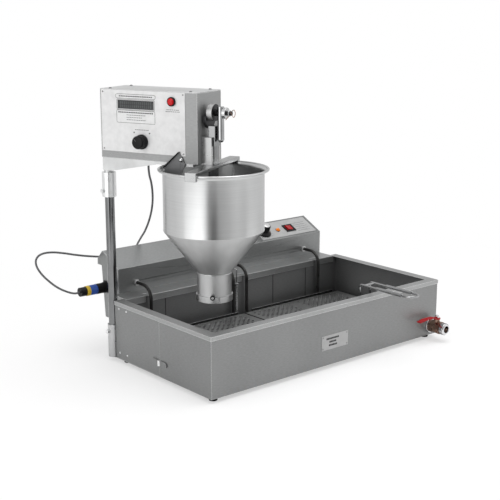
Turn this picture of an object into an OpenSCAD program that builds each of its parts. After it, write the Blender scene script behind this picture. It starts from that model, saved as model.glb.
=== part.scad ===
// Donut fryer: an oil tank with a hung control box and tube heaters, and a swivelling head on a post
// whose crank drives a plunger through a dough hopper.
// X runs along the tank, Y to the back, Z up from the floor.

/* [Tank] */
// Length of the casing
tank_l = 900; // [860:10:960]
// Width of the casing, front to back
tank_w = 450; // [430:5:480]
// Height of the casing above its feet
casing_h = 173; // [165:1:185]
// Thickness of the sheet steel
sheet = 1.5; // [1.2:0.1:2]
// Width of the flat rim at the front and the ends
rim_w = 27; // [24:1:30]
// Width of the flat rim at the back
back_rim_w = 15; // [14:1:17]
// Height of the fold round the outside of the rim
rim_fold = 12; // [8:1:18]
// Air gap between the casing and the bath
bath_gap = 11; // [9:0.5:11]
// Gap between the base and the bath floor
bath_lift = 12; // [8:1:15]
// Height of a foot
foot_h = 12; // [8:1:20]
// Width of a foot at its top
foot_d = 28; // [20:1:34]
// Distance of a foot from the outside of the casing
foot_inset = 25; // [20:1:40]
// Distance of the seam in the left end from the front
seam_y = 231; // [200:1:260]

/* [Drain valve] */
// Outside width of the drain nipple
nipple_d = 26.9; // [22:0.1:27]
// Bore of the nipple and the valve
drain_bore = 20; // [14:0.5:21]
// Distance of the drain from the right end
drain_inset = 28; // [28:1:60]
// Height of the drain axis above the bath floor
drain_lift = 16; // [15:1:24]
// Length of the valve body
valve_l = 40; // [36:1:50]
// Width of the valve body
valve_d = 40; // [38:0.5:44]
// Length of the chrome outlet
outlet_l = 19; // [12:1:30]
// Bore of the chrome outlet
outlet_bore = 22; // [16:0.5:26]
// Reach of the lever from its stem
lever_l = 85; // [60:1:110]

/* [Post] */
// Outside width of the post tube
post_d = 26.9; // [25:0.1:30]
// Wall of the post tube
post_wall = 2.6; // [2:0.1:4]
// Distance of the post behind the casing
post_back = 18; // [18:0.5:24]
// Distance of the post from the left end
post_side = 5; // [3:1:12]
// Height of the socket round the foot of the post
socket_h = 98; // [70:1:120]
// Wall of the socket
socket_wall = 3.4; // [2.5:0.1:4]
// Outside width of the swivel collar
collar_d = 40; // [36:0.5:46]
// Length of the swivel collar
collar_l = 70; // [50:1:80]

/* [Control box] */
// Distance of the box from the left end of the casing
box_left = 46; // [40:1:60]
// Distance of the box from the right end of the casing
box_right = 28; // [20:1:60]
// Depth of the ledge between the casing and the upright face
ledge_d = 50; // [45:1:60]
// Height of the upright face above the rim
face_h = 76; // [70:1:85]
// Slope of the control panel
slope = 27; // [20:1:32]
// Length of the sloping panel
slope_l = 93; // [88:1:105]
// Depth of the box below the rim
box_drop = 85; // [70:1:100]
// Length of the lip inside the bath
lip_h = 18; // [12:1:25]
// Length of the pale control plate
plate_l = 240; // [220:1:260]
// Distance of the control plate from the right end of the box
plate_right = 12; // [8:1:30]
// Width of the thermostat knob
dial_d = 52; // [44:1:54]
// Height of the thermostat knob
dial_h = 32; // [24:1:36]
// Length of the rocker
rocker_l = 27; // [24:0.5:28]
// Width of the rocker
rocker_w = 21; // [18:0.5:22]

/* [Heaters] */
// Width of a heater tube
heater_d = 10; // [8:0.5:11]
// Distance between the legs of one heater
leg_span = 314; // [290:2:330]
// Distance between the two heaters at the middle of the tank
heater_gap = 54; // [44:2:70]
// Bend radius where a heater turns down into the bath
heater_bend = 38; // [30:1:40]
// Height of the heater roots above the rim
root_h = 27; // [22:1:40]
// Height of the heater loops above the bath floor
loop_h = 15; // [12:1:18]

/* [Grids] */
// Height of the top of a grid above the bath floor
grid_h = 45; // [40:1:60]
// Margin round the grids inside the rim
grid_margin = 13; // [10:1:18]
// Gap between the two grids
grid_gap = 6; // [4:1:12]
// Distance of the back edge of the grids from the rim
grid_back = 35; // [30:1:45]
// Width of a hole in the grids
hole_d = 9; // [7:0.5:10]
// Distance between the holes
hole_pitch = 20; // [18:0.5:24]
// Width of the handle wire
wire_d = 6; // [4:0.5:7]
// Height of the handle above its grid
handle_h = 141; // [125:1:160]
// Reach of the handle in front of its grid
handle_reach = 200; // [150:5:230]
// Distance between the two wires of the handle
handle_w = 43; // [36:1:60]

/* [Head] */
// Angle of the head to the tank
head_turn = 21; // [0:1:40]
// Depth of the head case
head_d = 125; // [110:1:150]
// Length of the head case
head_l = 316; // [300:1:340]
// Height of the head case
head_h = 192; // [170:1:210]
// Height of the underside of the head above the rim
head_lift = 419; // [400:1:450]
// Distance of the post axis from the front panel
panel_back = 16; // [14:0.5:24]
// Distance of the post axis from the end of the case
post_end = 10.5; // [8:0.5:20]
// Depth of the arm at the post
arm_h = 37; // [30:1:45]
// Width of the arm
arm_w = 40; // [34:1:44]
// Length of the display window
window_l = 119; // [90:1:130]
// Height of the display window
window_h = 24; // [16:1:34]
// Width of the start button
button_d = 19; // [14:0.5:22]
// Travel of the start button
button_travel = 3; // [2:0.5:4]
// Width of the mode knob
knob_d = 41; // [32:1:46]
// Height of the mode knob
knob_h = 25; // [18:1:30]

/* [Crank drive] */
// Distance of the crank axis from the front panel
crank_x = 45; // [42:1:60]
// Height of the crank axis above the underside of the head
crank_h = 119; // [115:1:125]
// Throw of the crank
throw = 18; // [14:0.5:18]
// Width of the drive shaft
shaft_d = 12; // [10:0.5:14]
// Width of the crank disc
disc_d = 50; // [46:1:52]
// Width of the eccentric boss
boss_d = 46; // [40:1:46]
// Width of the connecting rod
rod_d = 18; // [16:0.5:20]
// Length of the connecting rod
rod_l = 96; // [90:1:98]
// Width of the plunger tube
plunger_d = 28; // [24:0.5:30]

/* [Hopper] */
// Width of the hopper rim
rim_d = 304; // [296:1:312]
// Overhang of the rim past the straight wall
rim_over = 13.5; // [10:0.5:17]
// Height of the straight wall with its flare
hopper_h = 170; // [150:1:175]
// Height of the cone
cone_h = 121; // [100:1:125]
// Width of the nozzle
nozzle_d = 96; // [88:1:100]
// Height of the nozzle
nozzle_h = 74; // [70:1:80]
// Height of the nozzle ring
ring_h = 14; // [10:1:20]
// Width of the crossbar
bar_w = 32; // [28:1:33]
// Thickness of the crossbar
bar_t = 10; // [8:0.5:11]
// Length of the turned down ends of the crossbar
bar_end_h = 24; // [20:1:30]
// Distance of the hopper axis in front of the head
hopper_out = 22; // [22:0.5:26]

/* [Hidden] */
$fn = 64;

// Shared clearances and the overrun of every cut
over = 1;
run_gap = 0.05;
free_gap = 0.3;
loose_gap = 0.5;

// Heights of the tank
base_z = foot_h;
rim_z = foot_h + casing_h;
floor_z = base_z + sheet + bath_lift + sheet;
bath_in = sheet + bath_gap;

// Feet and small sheet details
foot_taper_share = 0.82;
seam_gap = 1;
clip_l = 70;
clip_h = 16;
clip_t = 3;
clip_rise = 42;
knuckle_d = 7;
rivet_d = 7;
rivet_h = 2;
rivet_edge = 20;
rivet_pitch = 38;
plate_rivet_d = 4;
plate_rivet_inset = 5;
front_plate_l = 105;
front_plate_h = 43;
front_plate_t = 1;
front_plate_x = 400;
front_plate_rise = 47;

// Drain valve
drain_x = tank_l - drain_inset;
drain_z = floor_z + drain_lift;
flange_d = 46;
flange_t = 6;
thread_l = 8;
valve_y = -flange_t - loose_gap;
valve_end_y = valve_y - valve_l;
valve_mid_y = valve_y - valve_l / 2;
hex_d = 40;
hex_l = 9;
ball_d = 28;
ball_bore = 18;
ball_flat_share = 0.42;
neck_d = 19;
neck_h = 26;
stem_d = 9;
lever_z = drain_z + neck_h + free_gap;
lever_w = 16;
lever_t = 3;
lever_arch = 7;
lever_bend_share = 0.28;
lever_eye_d = 22;
stem_nut_d = 15;
stem_nut_h = 6;
stem_tip = 3;
outlet_d = 36;
outlet_edge = 3;

// Post, socket and collar
post_x = post_side;
post_y = tank_w + post_back;
socket_d = post_d + 2 * run_gap + 2 * socket_wall;
socket_floor = 6;
socket_z = base_z + over;
bracket_l = 70;
bracket_t = sheet;
head_z = rim_z + head_lift;
arm_z = head_z - arm_h;
stub_l = 45;
stub_z = arm_z - stub_l;
collar_lead = 3;
collar_z = stub_z - collar_l / 2 + collar_lead;
post_top = stub_z - run_gap;
screw_d = 8;
screw_head_d = 13;
screw_head_h = 6;
screw_rise_share = 0.8;

// Outline of the control box, in Y and Z
box_x = box_left;
box_end_x = tank_l - box_right;
box_y = tank_w + sheet;
face_y = tank_w + ledge_d;
face_top = rim_z + face_h;
apex_y = face_y + slope_l * cos(slope);
apex_z = face_top + slope_l * sin(slope);
eave_d = 27;
eave_fall = 29;
eave_h = 17;
eave_back = 22;
back_lean = 13;
box_bottom_z = rim_z - box_drop;
eave_y = apex_y + eave_d;
eave_z = apex_z - eave_fall;
BOX = [
    [box_y, box_bottom_z],
    [eave_y - eave_back - back_lean, box_bottom_z],
    [eave_y - eave_back, eave_z - eave_h],
    [eave_y, eave_z - eave_h],
    [eave_y, eave_z],
    [apex_y, apex_z],
    [face_y, face_top],
    [face_y, rim_z],
    [box_y, rim_z]
];
lip_gap = 1;
lip_y = tank_w - back_rim_w - lip_gap - sheet;
ledge_margin = 16;
notch_w = 24;
notch_d = 22;

// Control panel, measured up the slope
panel_t = 1;
panel_edge = 7;
plate_x = box_end_x - plate_right - plate_l;
control_up = 42;
dial_in = 27;
lamp_in = 91;
switch_in = 141;
dial_x = plate_x + dial_in;
lamp_x = plate_x + lamp_in;
switch_x = plate_x + switch_in;
dial_skirt_h = 8;
dial_body_d = 32;
dial_shaft_d = 6;
dial_shaft_l = 14;
body_l = 36;
body_h = 26;
lamp_d = 12;
lamp_h = 7;
lamp_body_l = 22;
bezel_edge = 4;
bezel_h = 3;
switch_h = 24;
switch_wall = 2;
rocker_play = 1;
rocker_pocket = 14;
rocker_keel = 5;
rocker_rise = 4;
rocker_peak = 7;
rocker_dip = 3;
rocker_draft = 1.5;

// Heaters
root_z = rim_z + root_h;
loop_z = floor_z + loop_h;
leg_y = lip_y - heater_d;
root_in = 12;
loop_front = 50;
loop_back = 70;
heater_folds = 5;
loop_s = leg_span / heater_folds;
loop_r = loop_s / 2 - free_gap;
bushing_d = 19;
bushing_l = 9;
left_leg_x = tank_l / 2 - heater_gap / 2 - leg_span;
right_leg_x = tank_l / 2 + heater_gap / 2;
LEGS = [left_leg_x, left_leg_x + leg_span, right_leg_x, right_leg_x + leg_span];
bulb_d = 7;
bulb_l = 75;
capillary_d = 4;
bead_d = 14;
bead_h = 9;

// Grids and the handle
grid_y = rim_w + grid_margin;
grid_end_y = tank_w - back_rim_w - grid_back;
grid_x = rim_w + grid_margin;
grid_l = tank_l / 2 - grid_gap / 2 - grid_x;
grid_w = grid_end_y - grid_y;
grid_z = floor_z + grid_h;
hole_edge = 18;
band_share = 0.468;
band_w = 33;
band_x = grid_l * band_share;
band_half = (band_w + hole_pitch) / 2;
hole_rows = floor((grid_w - 2 * hole_edge) / hole_pitch);
hole_low_y = grid_w - hole_edge - hole_rows * hole_pitch;
grid_lip_h = 9;
grid_lip_in = 25;
handle_x_share = 0.36;
handle_x = tank_l / 2 + grid_gap / 2 + grid_l * handle_x_share;
handle_y = grid_y + wire_d;
handle_bend = 9;
grip_d = 10;
grip_l = 98;
grip_end = 14;

// Head case, in the frame of the post axis
head_x0 = -panel_back;
head_x1 = head_x0 + head_d;
head_y1 = post_end;
head_y0 = post_end - head_l;
head_top = head_z + head_h;
label_t = 1;
label_strip = 38;
label_edge = 4;
label_band = 20;
label_top = 2;
label_y0 = head_y0 + label_strip;
label_y1 = head_y1 - label_edge;
label_z0 = head_z + label_band;
label_z1 = head_top - label_top;
label_x = head_x0 - label_t;
window_in = 197;
window_up = 151;
window_y = head_y0 + window_in;
window_z = head_z + window_up;
window_t = 8;
button_side = 79;
button_up = 165;
button_y = head_y0 + button_side;
button_z = head_z + button_up;
bezel_d = 25;
bezel_l = 6;
button_out = 11;
button_guide = 2;
button_in = button_travel + button_guide;
button_dome = 5;
knob_side = 178;
knob_up = 51;
knob_y = head_y0 + knob_side;
knob_z = head_z + knob_up;
knob_skirt_h = 6;
knob_taper = 3;
knob_shaft_d = 6;
knob_shaft_l = 12;
knob_mark_w = 3;
knob_rest = 46;
lid_screw_d = 9;
lid_screw_h = 3;
lid_screw_inset = 12;
lid_screw_side = 27;
label_screw_d = 5;
label_screw_h = 1.5;
label_screw_inset = 6;

// Arm, stub and the gland under the head
arm_x = head_x0 + label_t;
arm_flat = 32;
arm_tip_h = 8;
arm_tip_in = 130.5;
arm_end_in = 15.5;
arm_tip_y = head_y0 + arm_tip_in;
arm_end_y = head_y0 + arm_end_in;
arm_post_y = head_y1 - sheet;
gland_side = 57;
gland_in = 198;
gland_x = head_x0 + gland_side;
gland_y = head_y0 + gland_in;
gland_d = 20;
gland_nut_h = 8;
gland_h = 18;
gland_tip_d = 10;
cord_d = 6;

// Crank drive, with distances out from the end of the head
drive_x = head_x0 + crank_x;
drive_z = head_z + crank_h;
disc_gap = 6;
disc_t = 8;
boss_t = 16;
shoulder_d = 18;
boss_out = disc_gap + disc_t;
shoulder_out = boss_out + boss_t;
rod_gap = 1;
head_gap = 14;
rod_out = hopper_out + head_gap + rod_gap;
rod_axis = rod_out + rod_d / 2;
shoulder_t = rod_out - shoulder_out - free_gap;
pin_d = 12;
pin_z = drive_z + throw;
rod_head = 17;
rod_top = pin_z + rod_head;
rod_z = rod_top - rod_l;
nut_d = 30;
nut_t = 10;
nut_out = rod_out + rod_d + loose_gap;
pin_tail = 14;
pin_out = nut_out + nut_t + pin_tail;
keeper_d = 2.4;
keeper_share = 0.55;
shaft_in = 40;
gearbox_w = 70;
gearbox_l = 60;
gearbox_h = 76;
motor_d = 58;
motor_l = 105;
motor_edge = 4;

// Hopper and crossbar
hopper_y = head_y0 - hopper_out;
hopper_d = rim_d - 2 * rim_over;
rim_gap = 12;
hopper_z = head_z - rim_gap;
flare_h = 12;
cone_z = hopper_z - hopper_h;
nozzle_z = cone_z - cone_h;
outlet_z = nozzle_z - nozzle_h;
bar_z = hopper_z + run_gap;
bar_out = 1;
bar_turn = 9;
ring_wall = 3;
ring_lip_t = 3;
ring_lip = 8;
ring_screw_d = 13;
ring_screw_l = 6;
ring_screw_angle = 205;
ring_split = 7;
ring_split_angle = 223;

// Crosshead, guide rails, plunger and piston
head_w = 31;
head_rise = 50;
crosshead_l = 54;
crosshead_t = hopper_out + head_gap - boss_out - rod_gap;
crosshead_z = bar_z + bar_t + head_rise;
rail_w = 8;
rail_d = 30;
rail_t = 3;
rail_h = 74;
plunger_wall = 3;
piston_gap = 1.5;
piston_h = 15;
piston_cone = 28;
piston_low = 22;
stroke = 2 * throw;
piston_z = outlet_z + piston_low + stroke + loose_gap;

// Guide plate hung from the front panel into the hopper
guide_t = 2.5;
guide_fold = 6;
guide_nose = 38;
guide_foot = 54;
guide_peak = 57;
guide_rim_gap = 12;
guide_front = crank_x + label_t + guide_t + guide_fold;
guide_tail = sqrt(rim_d * rim_d / 4 - guide_front * guide_front) - hopper_out - guide_rim_gap;
guide_y0 = head_y0 + guide_nose;
guide_y1 = head_y0 + guide_foot;
guide_y2 = head_y0 + guide_peak;
guide_y3 = head_y0 + guide_tail;
guide_heel_y = guide_y3 - rim_over;
guide_low = 37;
guide_tail_low = 13;
guide_mid_low = 2;
guide_high = 32;
guide_bolt_d = 8;
guide_bolt_h = 4;
guide_bolt_in = 51;
guide_bolt_up = 10;
guide_bolt_y = head_y0 + guide_bolt_in;
guide_bolt_z = head_z + guide_bolt_up;

// Connector on the left end of the control box
plug_in = 60;
plug_up = 11;
plug_y = face_y + plug_in;
plug_z = rim_z + plug_up;
socket_flange = 34;
socket_flange_t = 3;
socket_tube_d = 33;
socket_tube_l = 11;
plug_front_d = 31;
plug_front_l = 26;
plug_ring_d = 30;
plug_core_d = 24;
blue_l = 24;
yellow_l = 12;
plug_back_d = 27;
plug_back_l = 20;
plug_back_x = box_x - socket_tube_l - socket_flange_t - plug_front_l - blue_l - yellow_l - plug_back_l;

// Route of the control cord, from the gland to the plug
CORD = [
    [82, 382, 586], [82, 382, 570], [88, 387, 550], [99, 395, 528], [112, 409, 501],
    [125, 427, 473], [137, 448, 445], [149, 474, 415], [162, 506, 384], [176, 545, 351],
    [189, 584, 324], [200, 618, 299], [205, 642, 278], [195, 658, 262], [170, 660, 256],
    [135, 651, 259], [95, 638, 267], [50, 624, 277], [5, 614, 288], [-35, 607, 299],
    [-72, 602, 310], [-108, 598, 319], [-138, 596, 322], [-160, 594, 318], [-172, 591, 306],
    [-172, 587, 288], [-161, 582, 266], [-142, 576, 243], [-118, 570, 221], [-92, 564, 205],
    [-68, 560, 196], [-50, 560, 196]
];
cord_sides = 8;
cord_steps = 2;

// Origin of the part: the middle of its footprint, without the cord and its plug, on the floor
origin_x = (tank_l + sheet + post_x - collar_d / 2 - loose_gap - screw_head_h) / 2;
origin_y = (handle_y - handle_reach - wire_d / 2 + eave_y) / 2;

// Helpers: frames, simple bodies between limits, and bent rods
module in_frame() translate([-origin_x, -origin_y, 0]) children();
module in_head() in_frame() translate([post_x, post_y, 0]) rotate([0, 0, head_turn]) children();
module at_end(out, z) translate([drive_x, head_y0 - out, z]) children();
module on_slope(x, up)
    translate([x, face_y + up * cos(slope), face_top + up * sin(slope)]) rotate([slope, 0, 0]) children();
module slab(low, high) translate(low) cube(high - low);
module rod_x(x0, x1, d) translate([x0, 0, 0]) rotate([0, 90, 0]) cylinder(d = d, h = x1 - x0);
module rod_y(y0, y1, d) translate([0, y0, 0]) rotate([-90, 0, 0]) cylinder(d = d, h = y1 - y0);
module along_x(x0, x1) translate([x0, 0, 0]) rotate([90, 0, 90]) linear_extrude(x1 - x0) children();

function unit(v) = v / norm(v);
function bend_in(a, p, b, r) = p - unit(p - a) * r * tan(turn(a, p, b) / 2);
function bend_out(a, p, b, r) = p + unit(b - p) * r * tan(turn(a, p, b) / 2);
function turn(a, p, b) = acos(unit(p - a) * unit(b - p));

module straight_rod(a, b, d) {
    v = b - a;
    translate(a)
        rotate([0, acos(v.z / norm(v)), atan2(v.y, v.x)])
            cylinder(d = d, h = norm(v));
}

module elbow(a, p, b, r, d) {
    u = unit(p - a);
    w = unit(b - p);
    n = unit(w - u * (u * w));
    k = cross(-n, u);
    c = bend_in(a, p, b, r) + n * r;
    multmatrix([[-n.x, u.x, k.x, c.x], [-n.y, u.y, k.y, c.y], [-n.z, u.z, k.z, c.z], [0, 0, 0, 1]])
        rotate_extrude(angle = turn(a, p, b))
            translate([r, 0])
                circle(d = d);
}

module bent_rod(p, radii, d) {
    last = len(p) - 1;
    for (i = [0 : last - 1]) {
        a = i == 0 ? p[0] : bend_out(p[i - 1], p[i], p[i + 1], radii[i - 1]);
        b = i == last - 1 ? p[last] : bend_in(p[i], p[i + 1], p[i + 2], radii[i]);
        straight_rod(a, b, d);
        lap = unit(b - a) * d / 4;
        straight_rod(i == 0 ? a : a - lap, i == last - 1 ? b : b + lap, d / 2);
    }
    for (i = [1 : last - 1])
        elbow(p[i - 1], p[i], p[i + 1], radii[i - 1], d);
}

// Outline drawn in by one thickness on every side
function meet(p, u, q, w) = p + u * (cross(q - p, w) / cross(u, w));
function inset(o, t) = [
    for (i = [0 : len(o) - 1])
        let (
            a = o[(i + len(o) - 1) % len(o)],
            b = o[i],
            c = o[(i + 1) % len(o)],
            u = unit(b - a),
            w = unit(c - b)
        )
        meet(b + t * [-u.y, u.x], u, b + t * [-w.y, w.x], w)
];

// Tank

module casing_wrap() {
    color("lightslategray")
    in_frame()
    difference() {
        union() {
            slab([0, 0, base_z], [tank_l, sheet, rim_z - sheet]);
            slab([tank_l - sheet, 0, base_z], [tank_l, tank_w - sheet, rim_z - sheet]);
            slab([0, 0, base_z], [sheet, seam_y - seam_gap / 2, rim_z - sheet]);
            slab([0, 0, base_z], [tank_l, tank_w - sheet, base_z + sheet]);
        }
        translate([drain_x, 0, drain_z])
            rod_y(-over, sheet + over, nipple_d + 2 * run_gap);
    }
}

module casing_rear() {
    color("lightslategray")
    in_frame() {
        slab([0, tank_w - sheet, base_z], [tank_l, tank_w, rim_z - sheet]);
        slab([0, seam_y + seam_gap / 2, base_z + sheet], [sheet, tank_w, rim_z - sheet]);
    }
}

module feet() {
    color("black")
    in_frame()
    for (x = [foot_inset, tank_l - foot_inset], y = [foot_inset, tank_w - foot_inset])
        translate([x, y, 0])
            cylinder(d1 = foot_d * foot_taper_share, d2 = foot_d, h = foot_h);
}

module bath() {
    color("dimgray")
    in_frame()
    difference() {
        slab([bath_in, bath_in, floor_z - sheet],
            [tank_l - bath_in, tank_w - bath_in, rim_z - sheet]);
        slab([bath_in + sheet, bath_in + sheet, floor_z],
            [tank_l - bath_in - sheet, tank_w - bath_in - sheet, rim_z]);
        translate([drain_x, 0, drain_z])
            rod_y(bath_in - over, bath_in + sheet + over, nipple_d + 2 * run_gap);
    }
}

module rim_frame() {
    color("silver")
    in_frame()
    difference() {
        slab([-sheet, -sheet, rim_z - rim_fold], [tank_l + sheet, tank_w + sheet, rim_z]);
        slab([0, 0, rim_z - rim_fold - over], [tank_l, tank_w, rim_z - sheet]);
        slab([rim_w, rim_w, rim_z - rim_fold], [tank_l - rim_w, tank_w - back_rim_w, rim_z + over]);
    }
}

module seam_clip() {
    color("gainsboro")
    in_frame()
    translate([0, seam_y, base_z + clip_rise]) {
        difference() {
            union() {
                slab([-clip_t, -(clip_l - clip_h) / 2, -clip_h / 2], [0, (clip_l - clip_h) / 2, clip_h / 2]);
                for (s = [-1, 1])
                    translate([0, s * (clip_l - clip_h) / 2, 0])
                        rod_x(-clip_t, 0, clip_h);
            }
            translate([-knuckle_d / 2 - run_gap, 0, -clip_h])
                cylinder(d = knuckle_d + 2 * run_gap, h = 2 * clip_h);
        }
        translate([-knuckle_d / 2 - run_gap, 0, -clip_h / 2])
            cylinder(d = knuckle_d, h = clip_h);
    }
}

module rivet(d, h) {
    cylinder(d1 = d, d2 = d / 2, h = h);
}

module casing_rivets() {
    color("gainsboro")
    in_frame() {
        for (y = [0, 1], z = [0, 1])
            translate([0, tank_w - rivet_edge - y * rivet_pitch,
                z == 0 ? base_z + rivet_edge : rim_z - rivet_edge])
                rotate([0, -90, 0])
                    rivet(rivet_d, rivet_h);
        for (x = [plate_rivet_inset, front_plate_l - plate_rivet_inset],
            z = [plate_rivet_inset, front_plate_h - plate_rivet_inset])
            translate([front_plate_x + x, -front_plate_t, base_z + front_plate_rise + z])
                rotate([90, 0, 0])
                    rivet(plate_rivet_d, plate_rivet_d / 2);
    }
}

module front_plate() {
    color("whitesmoke")
    in_frame()
    translate([front_plate_x, -front_plate_t, base_z + front_plate_rise])
        cube([front_plate_l, front_plate_t, front_plate_h]);
}

// Drain valve

module drain_nipple() {
    color("lightgray")
    in_frame()
    translate([drain_x, 0, drain_z])
    difference() {
        union() {
            rod_y(valve_y - thread_l, bath_in + sheet, nipple_d);
            rod_y(-flange_t, 0, flange_d);
        }
        rod_y(valve_y - thread_l - over, bath_in + sheet + over, drain_bore);
    }
}

module valve_body() {
    color("peru")
    in_frame()
    translate([drain_x, 0, drain_z])
    difference() {
        union() {
            rod_y(valve_end_y + hex_l, valve_y, valve_d - sheet);
            translate([0, valve_y - hex_l, 0])
                rotate([-90, 0, 0])
                    cylinder(d = hex_d, h = hex_l, $fn = 6);
            translate([0, valve_end_y, 0])
                rotate([-90, 0, 0])
                    cylinder(d = hex_d, h = hex_l, $fn = 6);
            translate([0, valve_mid_y, 0])
                cylinder(d = neck_d, h = neck_h);
        }
        rod_y(valve_end_y - over, valve_y + over, drain_bore);
        rod_y(valve_y - thread_l, valve_y + over, nipple_d + 2 * run_gap);
        translate([0, valve_mid_y, 0])
            sphere(d = ball_d + 2 * free_gap);
        translate([0, valve_mid_y, 0])
            cylinder(d = stem_d + 2 * run_gap, h = neck_h + over);
    }
}

module outlet_fitting() {
    color("silver")
    in_frame()
    translate([drain_x, valve_end_y, drain_z])
        rotate([90, 0, 0])
            rotate_extrude()
                polygon([
                    [outlet_bore / 2, 0],
                    [outlet_d / 2 - outlet_edge, 0],
                    [outlet_d / 2, outlet_edge],
                    [outlet_d / 2, outlet_l - outlet_edge],
                    [outlet_d / 2 - outlet_edge, outlet_l],
                    [outlet_bore / 2, outlet_l]
                ]);
}

module valve_ball() {
    color("silver")
    in_frame()
    translate([drain_x, valve_mid_y, drain_z])
    difference() {
        sphere(d = ball_d);
        rod_x(-ball_d, ball_d, ball_bore);
        translate([-ball_d, -ball_d, ball_d * ball_flat_share])
            cube(2 * ball_d);
    }
}

module valve_stem() {
    low = ball_d * ball_flat_share;
    nut_z = lever_z - drain_z + lever_t;
    color("gray")
    in_frame()
    translate([drain_x, valve_mid_y, drain_z]) {
        translate([0, 0, low])
            cylinder(d = stem_d, h = nut_z + stem_nut_h + stem_tip - low);
        translate([0, 0, nut_z])
            cylinder(d = stem_nut_d, h = stem_nut_h, $fn = 6);
    }
}

module valve_lever() {
    bend_x = lever_l * lever_bend_share;
    color("crimson")
    in_frame()
    translate([drain_x, valve_mid_y, lever_z])
    difference() {
        union() {
            cylinder(d = lever_eye_d, h = lever_t);
            translate([0, lever_w / 2, 0])
                rotate([90, 0, 0])
                    linear_extrude(lever_w)
                        polygon([
                            [0, 0],
                            [0, lever_t],
                            [-bend_x, lever_t + lever_arch],
                            [-lever_l + bend_x, lever_t + lever_arch],
                            [-lever_l, lever_t + lever_arch / 2],
                            [-lever_l, lever_arch / 2],
                            [-lever_l + bend_x, lever_arch],
                            [-bend_x, lever_arch]
                        ]);
        }
        translate([0, 0, -over])
            cylinder(d = stem_d + 2 * run_gap, h = lever_t + lever_arch + 2 * over);
        translate([0, 0, lever_t])
            cylinder(d = stem_nut_d + 2 * loose_gap, h = lever_arch + over);
    }
}

// Post

module post_socket() {
    color("silver")
    in_frame()
    difference() {
        union() {
            translate([post_x, post_y, socket_z])
                cylinder(d = socket_d, h = socket_h);
            slab([post_x - socket_d / 4, tank_w, socket_z],
                [post_x + bracket_l, tank_w + bracket_t, socket_z + socket_h]);
            slab([post_x - socket_d / 4, tank_w, socket_z],
                [post_x + socket_d / 4, post_y, socket_z + socket_h]);
        }
        translate([post_x, post_y, socket_z + socket_floor])
            cylinder(d = post_d + 2 * run_gap, h = socket_h);
        translate([post_x, post_y, socket_z + socket_h * screw_rise_share])
            rod_x(-socket_d, 0, screw_d + 2 * run_gap);
    }
}

module post_tube() {
    color("lightgray")
    in_frame()
    translate([post_x, post_y, socket_z + socket_floor])
    difference() {
        cylinder(d = post_d, h = post_top - socket_z - socket_floor);
        translate([0, 0, -over])
            cylinder(d = post_d - 2 * post_wall, h = post_top);
    }
}

module swivel_collar() {
    color("gainsboro")
    in_frame()
    translate([post_x, post_y, collar_z])
    difference() {
        cylinder(d = collar_d, h = collar_l);
        translate([0, 0, -over])
            cylinder(d = post_d + 2 * run_gap, h = collar_l + 2 * over);
        translate([0, 0, collar_l / 4])
            rod_x(-collar_d, 0, screw_d + 2 * run_gap);
    }
}

module set_screw(reach) {
    rod_x(-reach, -post_d / 2 - run_gap, screw_d);
    translate([-reach - screw_head_h, 0, 0])
        rotate([0, 90, 0])
            cylinder(d = screw_head_d, h = screw_head_h, $fn = 6);
}

module set_screws() {
    color("gray")
    in_frame()
    translate([post_x, post_y, 0]) {
        translate([0, 0, socket_z + socket_h * screw_rise_share])
            set_screw(socket_d / 2 + loose_gap);
        translate([0, 0, collar_z + collar_l / 4])
            set_screw(collar_d / 2 + loose_gap);
    }
}

// Control box

module panel_cuts() {
    on_slope(dial_x, control_up)
        translate([0, 0, -body_h])
            cylinder(d = dial_shaft_d + 2 * free_gap, h = 2 * body_h);
    on_slope(lamp_x, control_up)
        translate([0, 0, -body_h])
            cylinder(d = lamp_d + 2 * run_gap, h = 2 * body_h);
    on_slope(switch_x, control_up)
        cube([switch_l(), switch_w(), 2 * body_h], center = true);
}

function switch_l() = rocker_l + 2 * rocker_play + 2 * switch_wall;
function switch_w() = rocker_w + 2 * rocker_play + 2 * switch_wall;

module control_box() {
    color("lightslategray")
    in_frame()
    difference() {
        along_x(box_x + sheet, box_end_x - sheet)
            difference() {
                polygon(BOX);
                polygon(inset(BOX, sheet));
            }
        panel_cuts();
        for (x = LEGS)
            translate([x, 0, root_z])
                rod_y(face_y - over, face_y + sheet + over, heater_d + 2 * run_gap);
    }
}

module control_ends() {
    color("lightslategray")
    in_frame() {
        along_x(box_x, box_x + sheet)
            polygon(BOX);
        along_x(box_end_x - sheet, box_end_x)
            polygon(BOX);
    }
}

module splash_ledge() {
    color("silver")
    in_frame()
    difference() {
        union() {
            slab([box_x - ledge_margin, lip_y, rim_z], [box_end_x, face_y, rim_z + sheet]);
            slab([box_x - ledge_margin, lip_y, rim_z - lip_h], [box_end_x, lip_y + sheet, rim_z]);
        }
        for (x = LEGS)
            slab([x - notch_w / 2, lip_y - over, rim_z - lip_h - over],
                [x + notch_w / 2, lip_y + notch_d, rim_z + sheet + over]);
    }
}

module control_plate() {
    color("whitesmoke")
    in_frame()
    difference() {
        on_slope(plate_x, panel_edge)
            cube([plate_l, slope_l - 2 * panel_edge, panel_t]);
        panel_cuts();
    }
}

module thermostat_body() {
    color("dimgray")
    in_frame()
    on_slope(dial_x, control_up)
    difference() {
        translate([-body_l / 2, -body_l / 2, -body_h - sheet - run_gap])
            cube([body_l, body_l, body_h]);
        translate([0, 0, -dial_shaft_l - over])
            cylinder(d = dial_shaft_d + 2 * run_gap, h = dial_shaft_l + over);
    }
}

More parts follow.
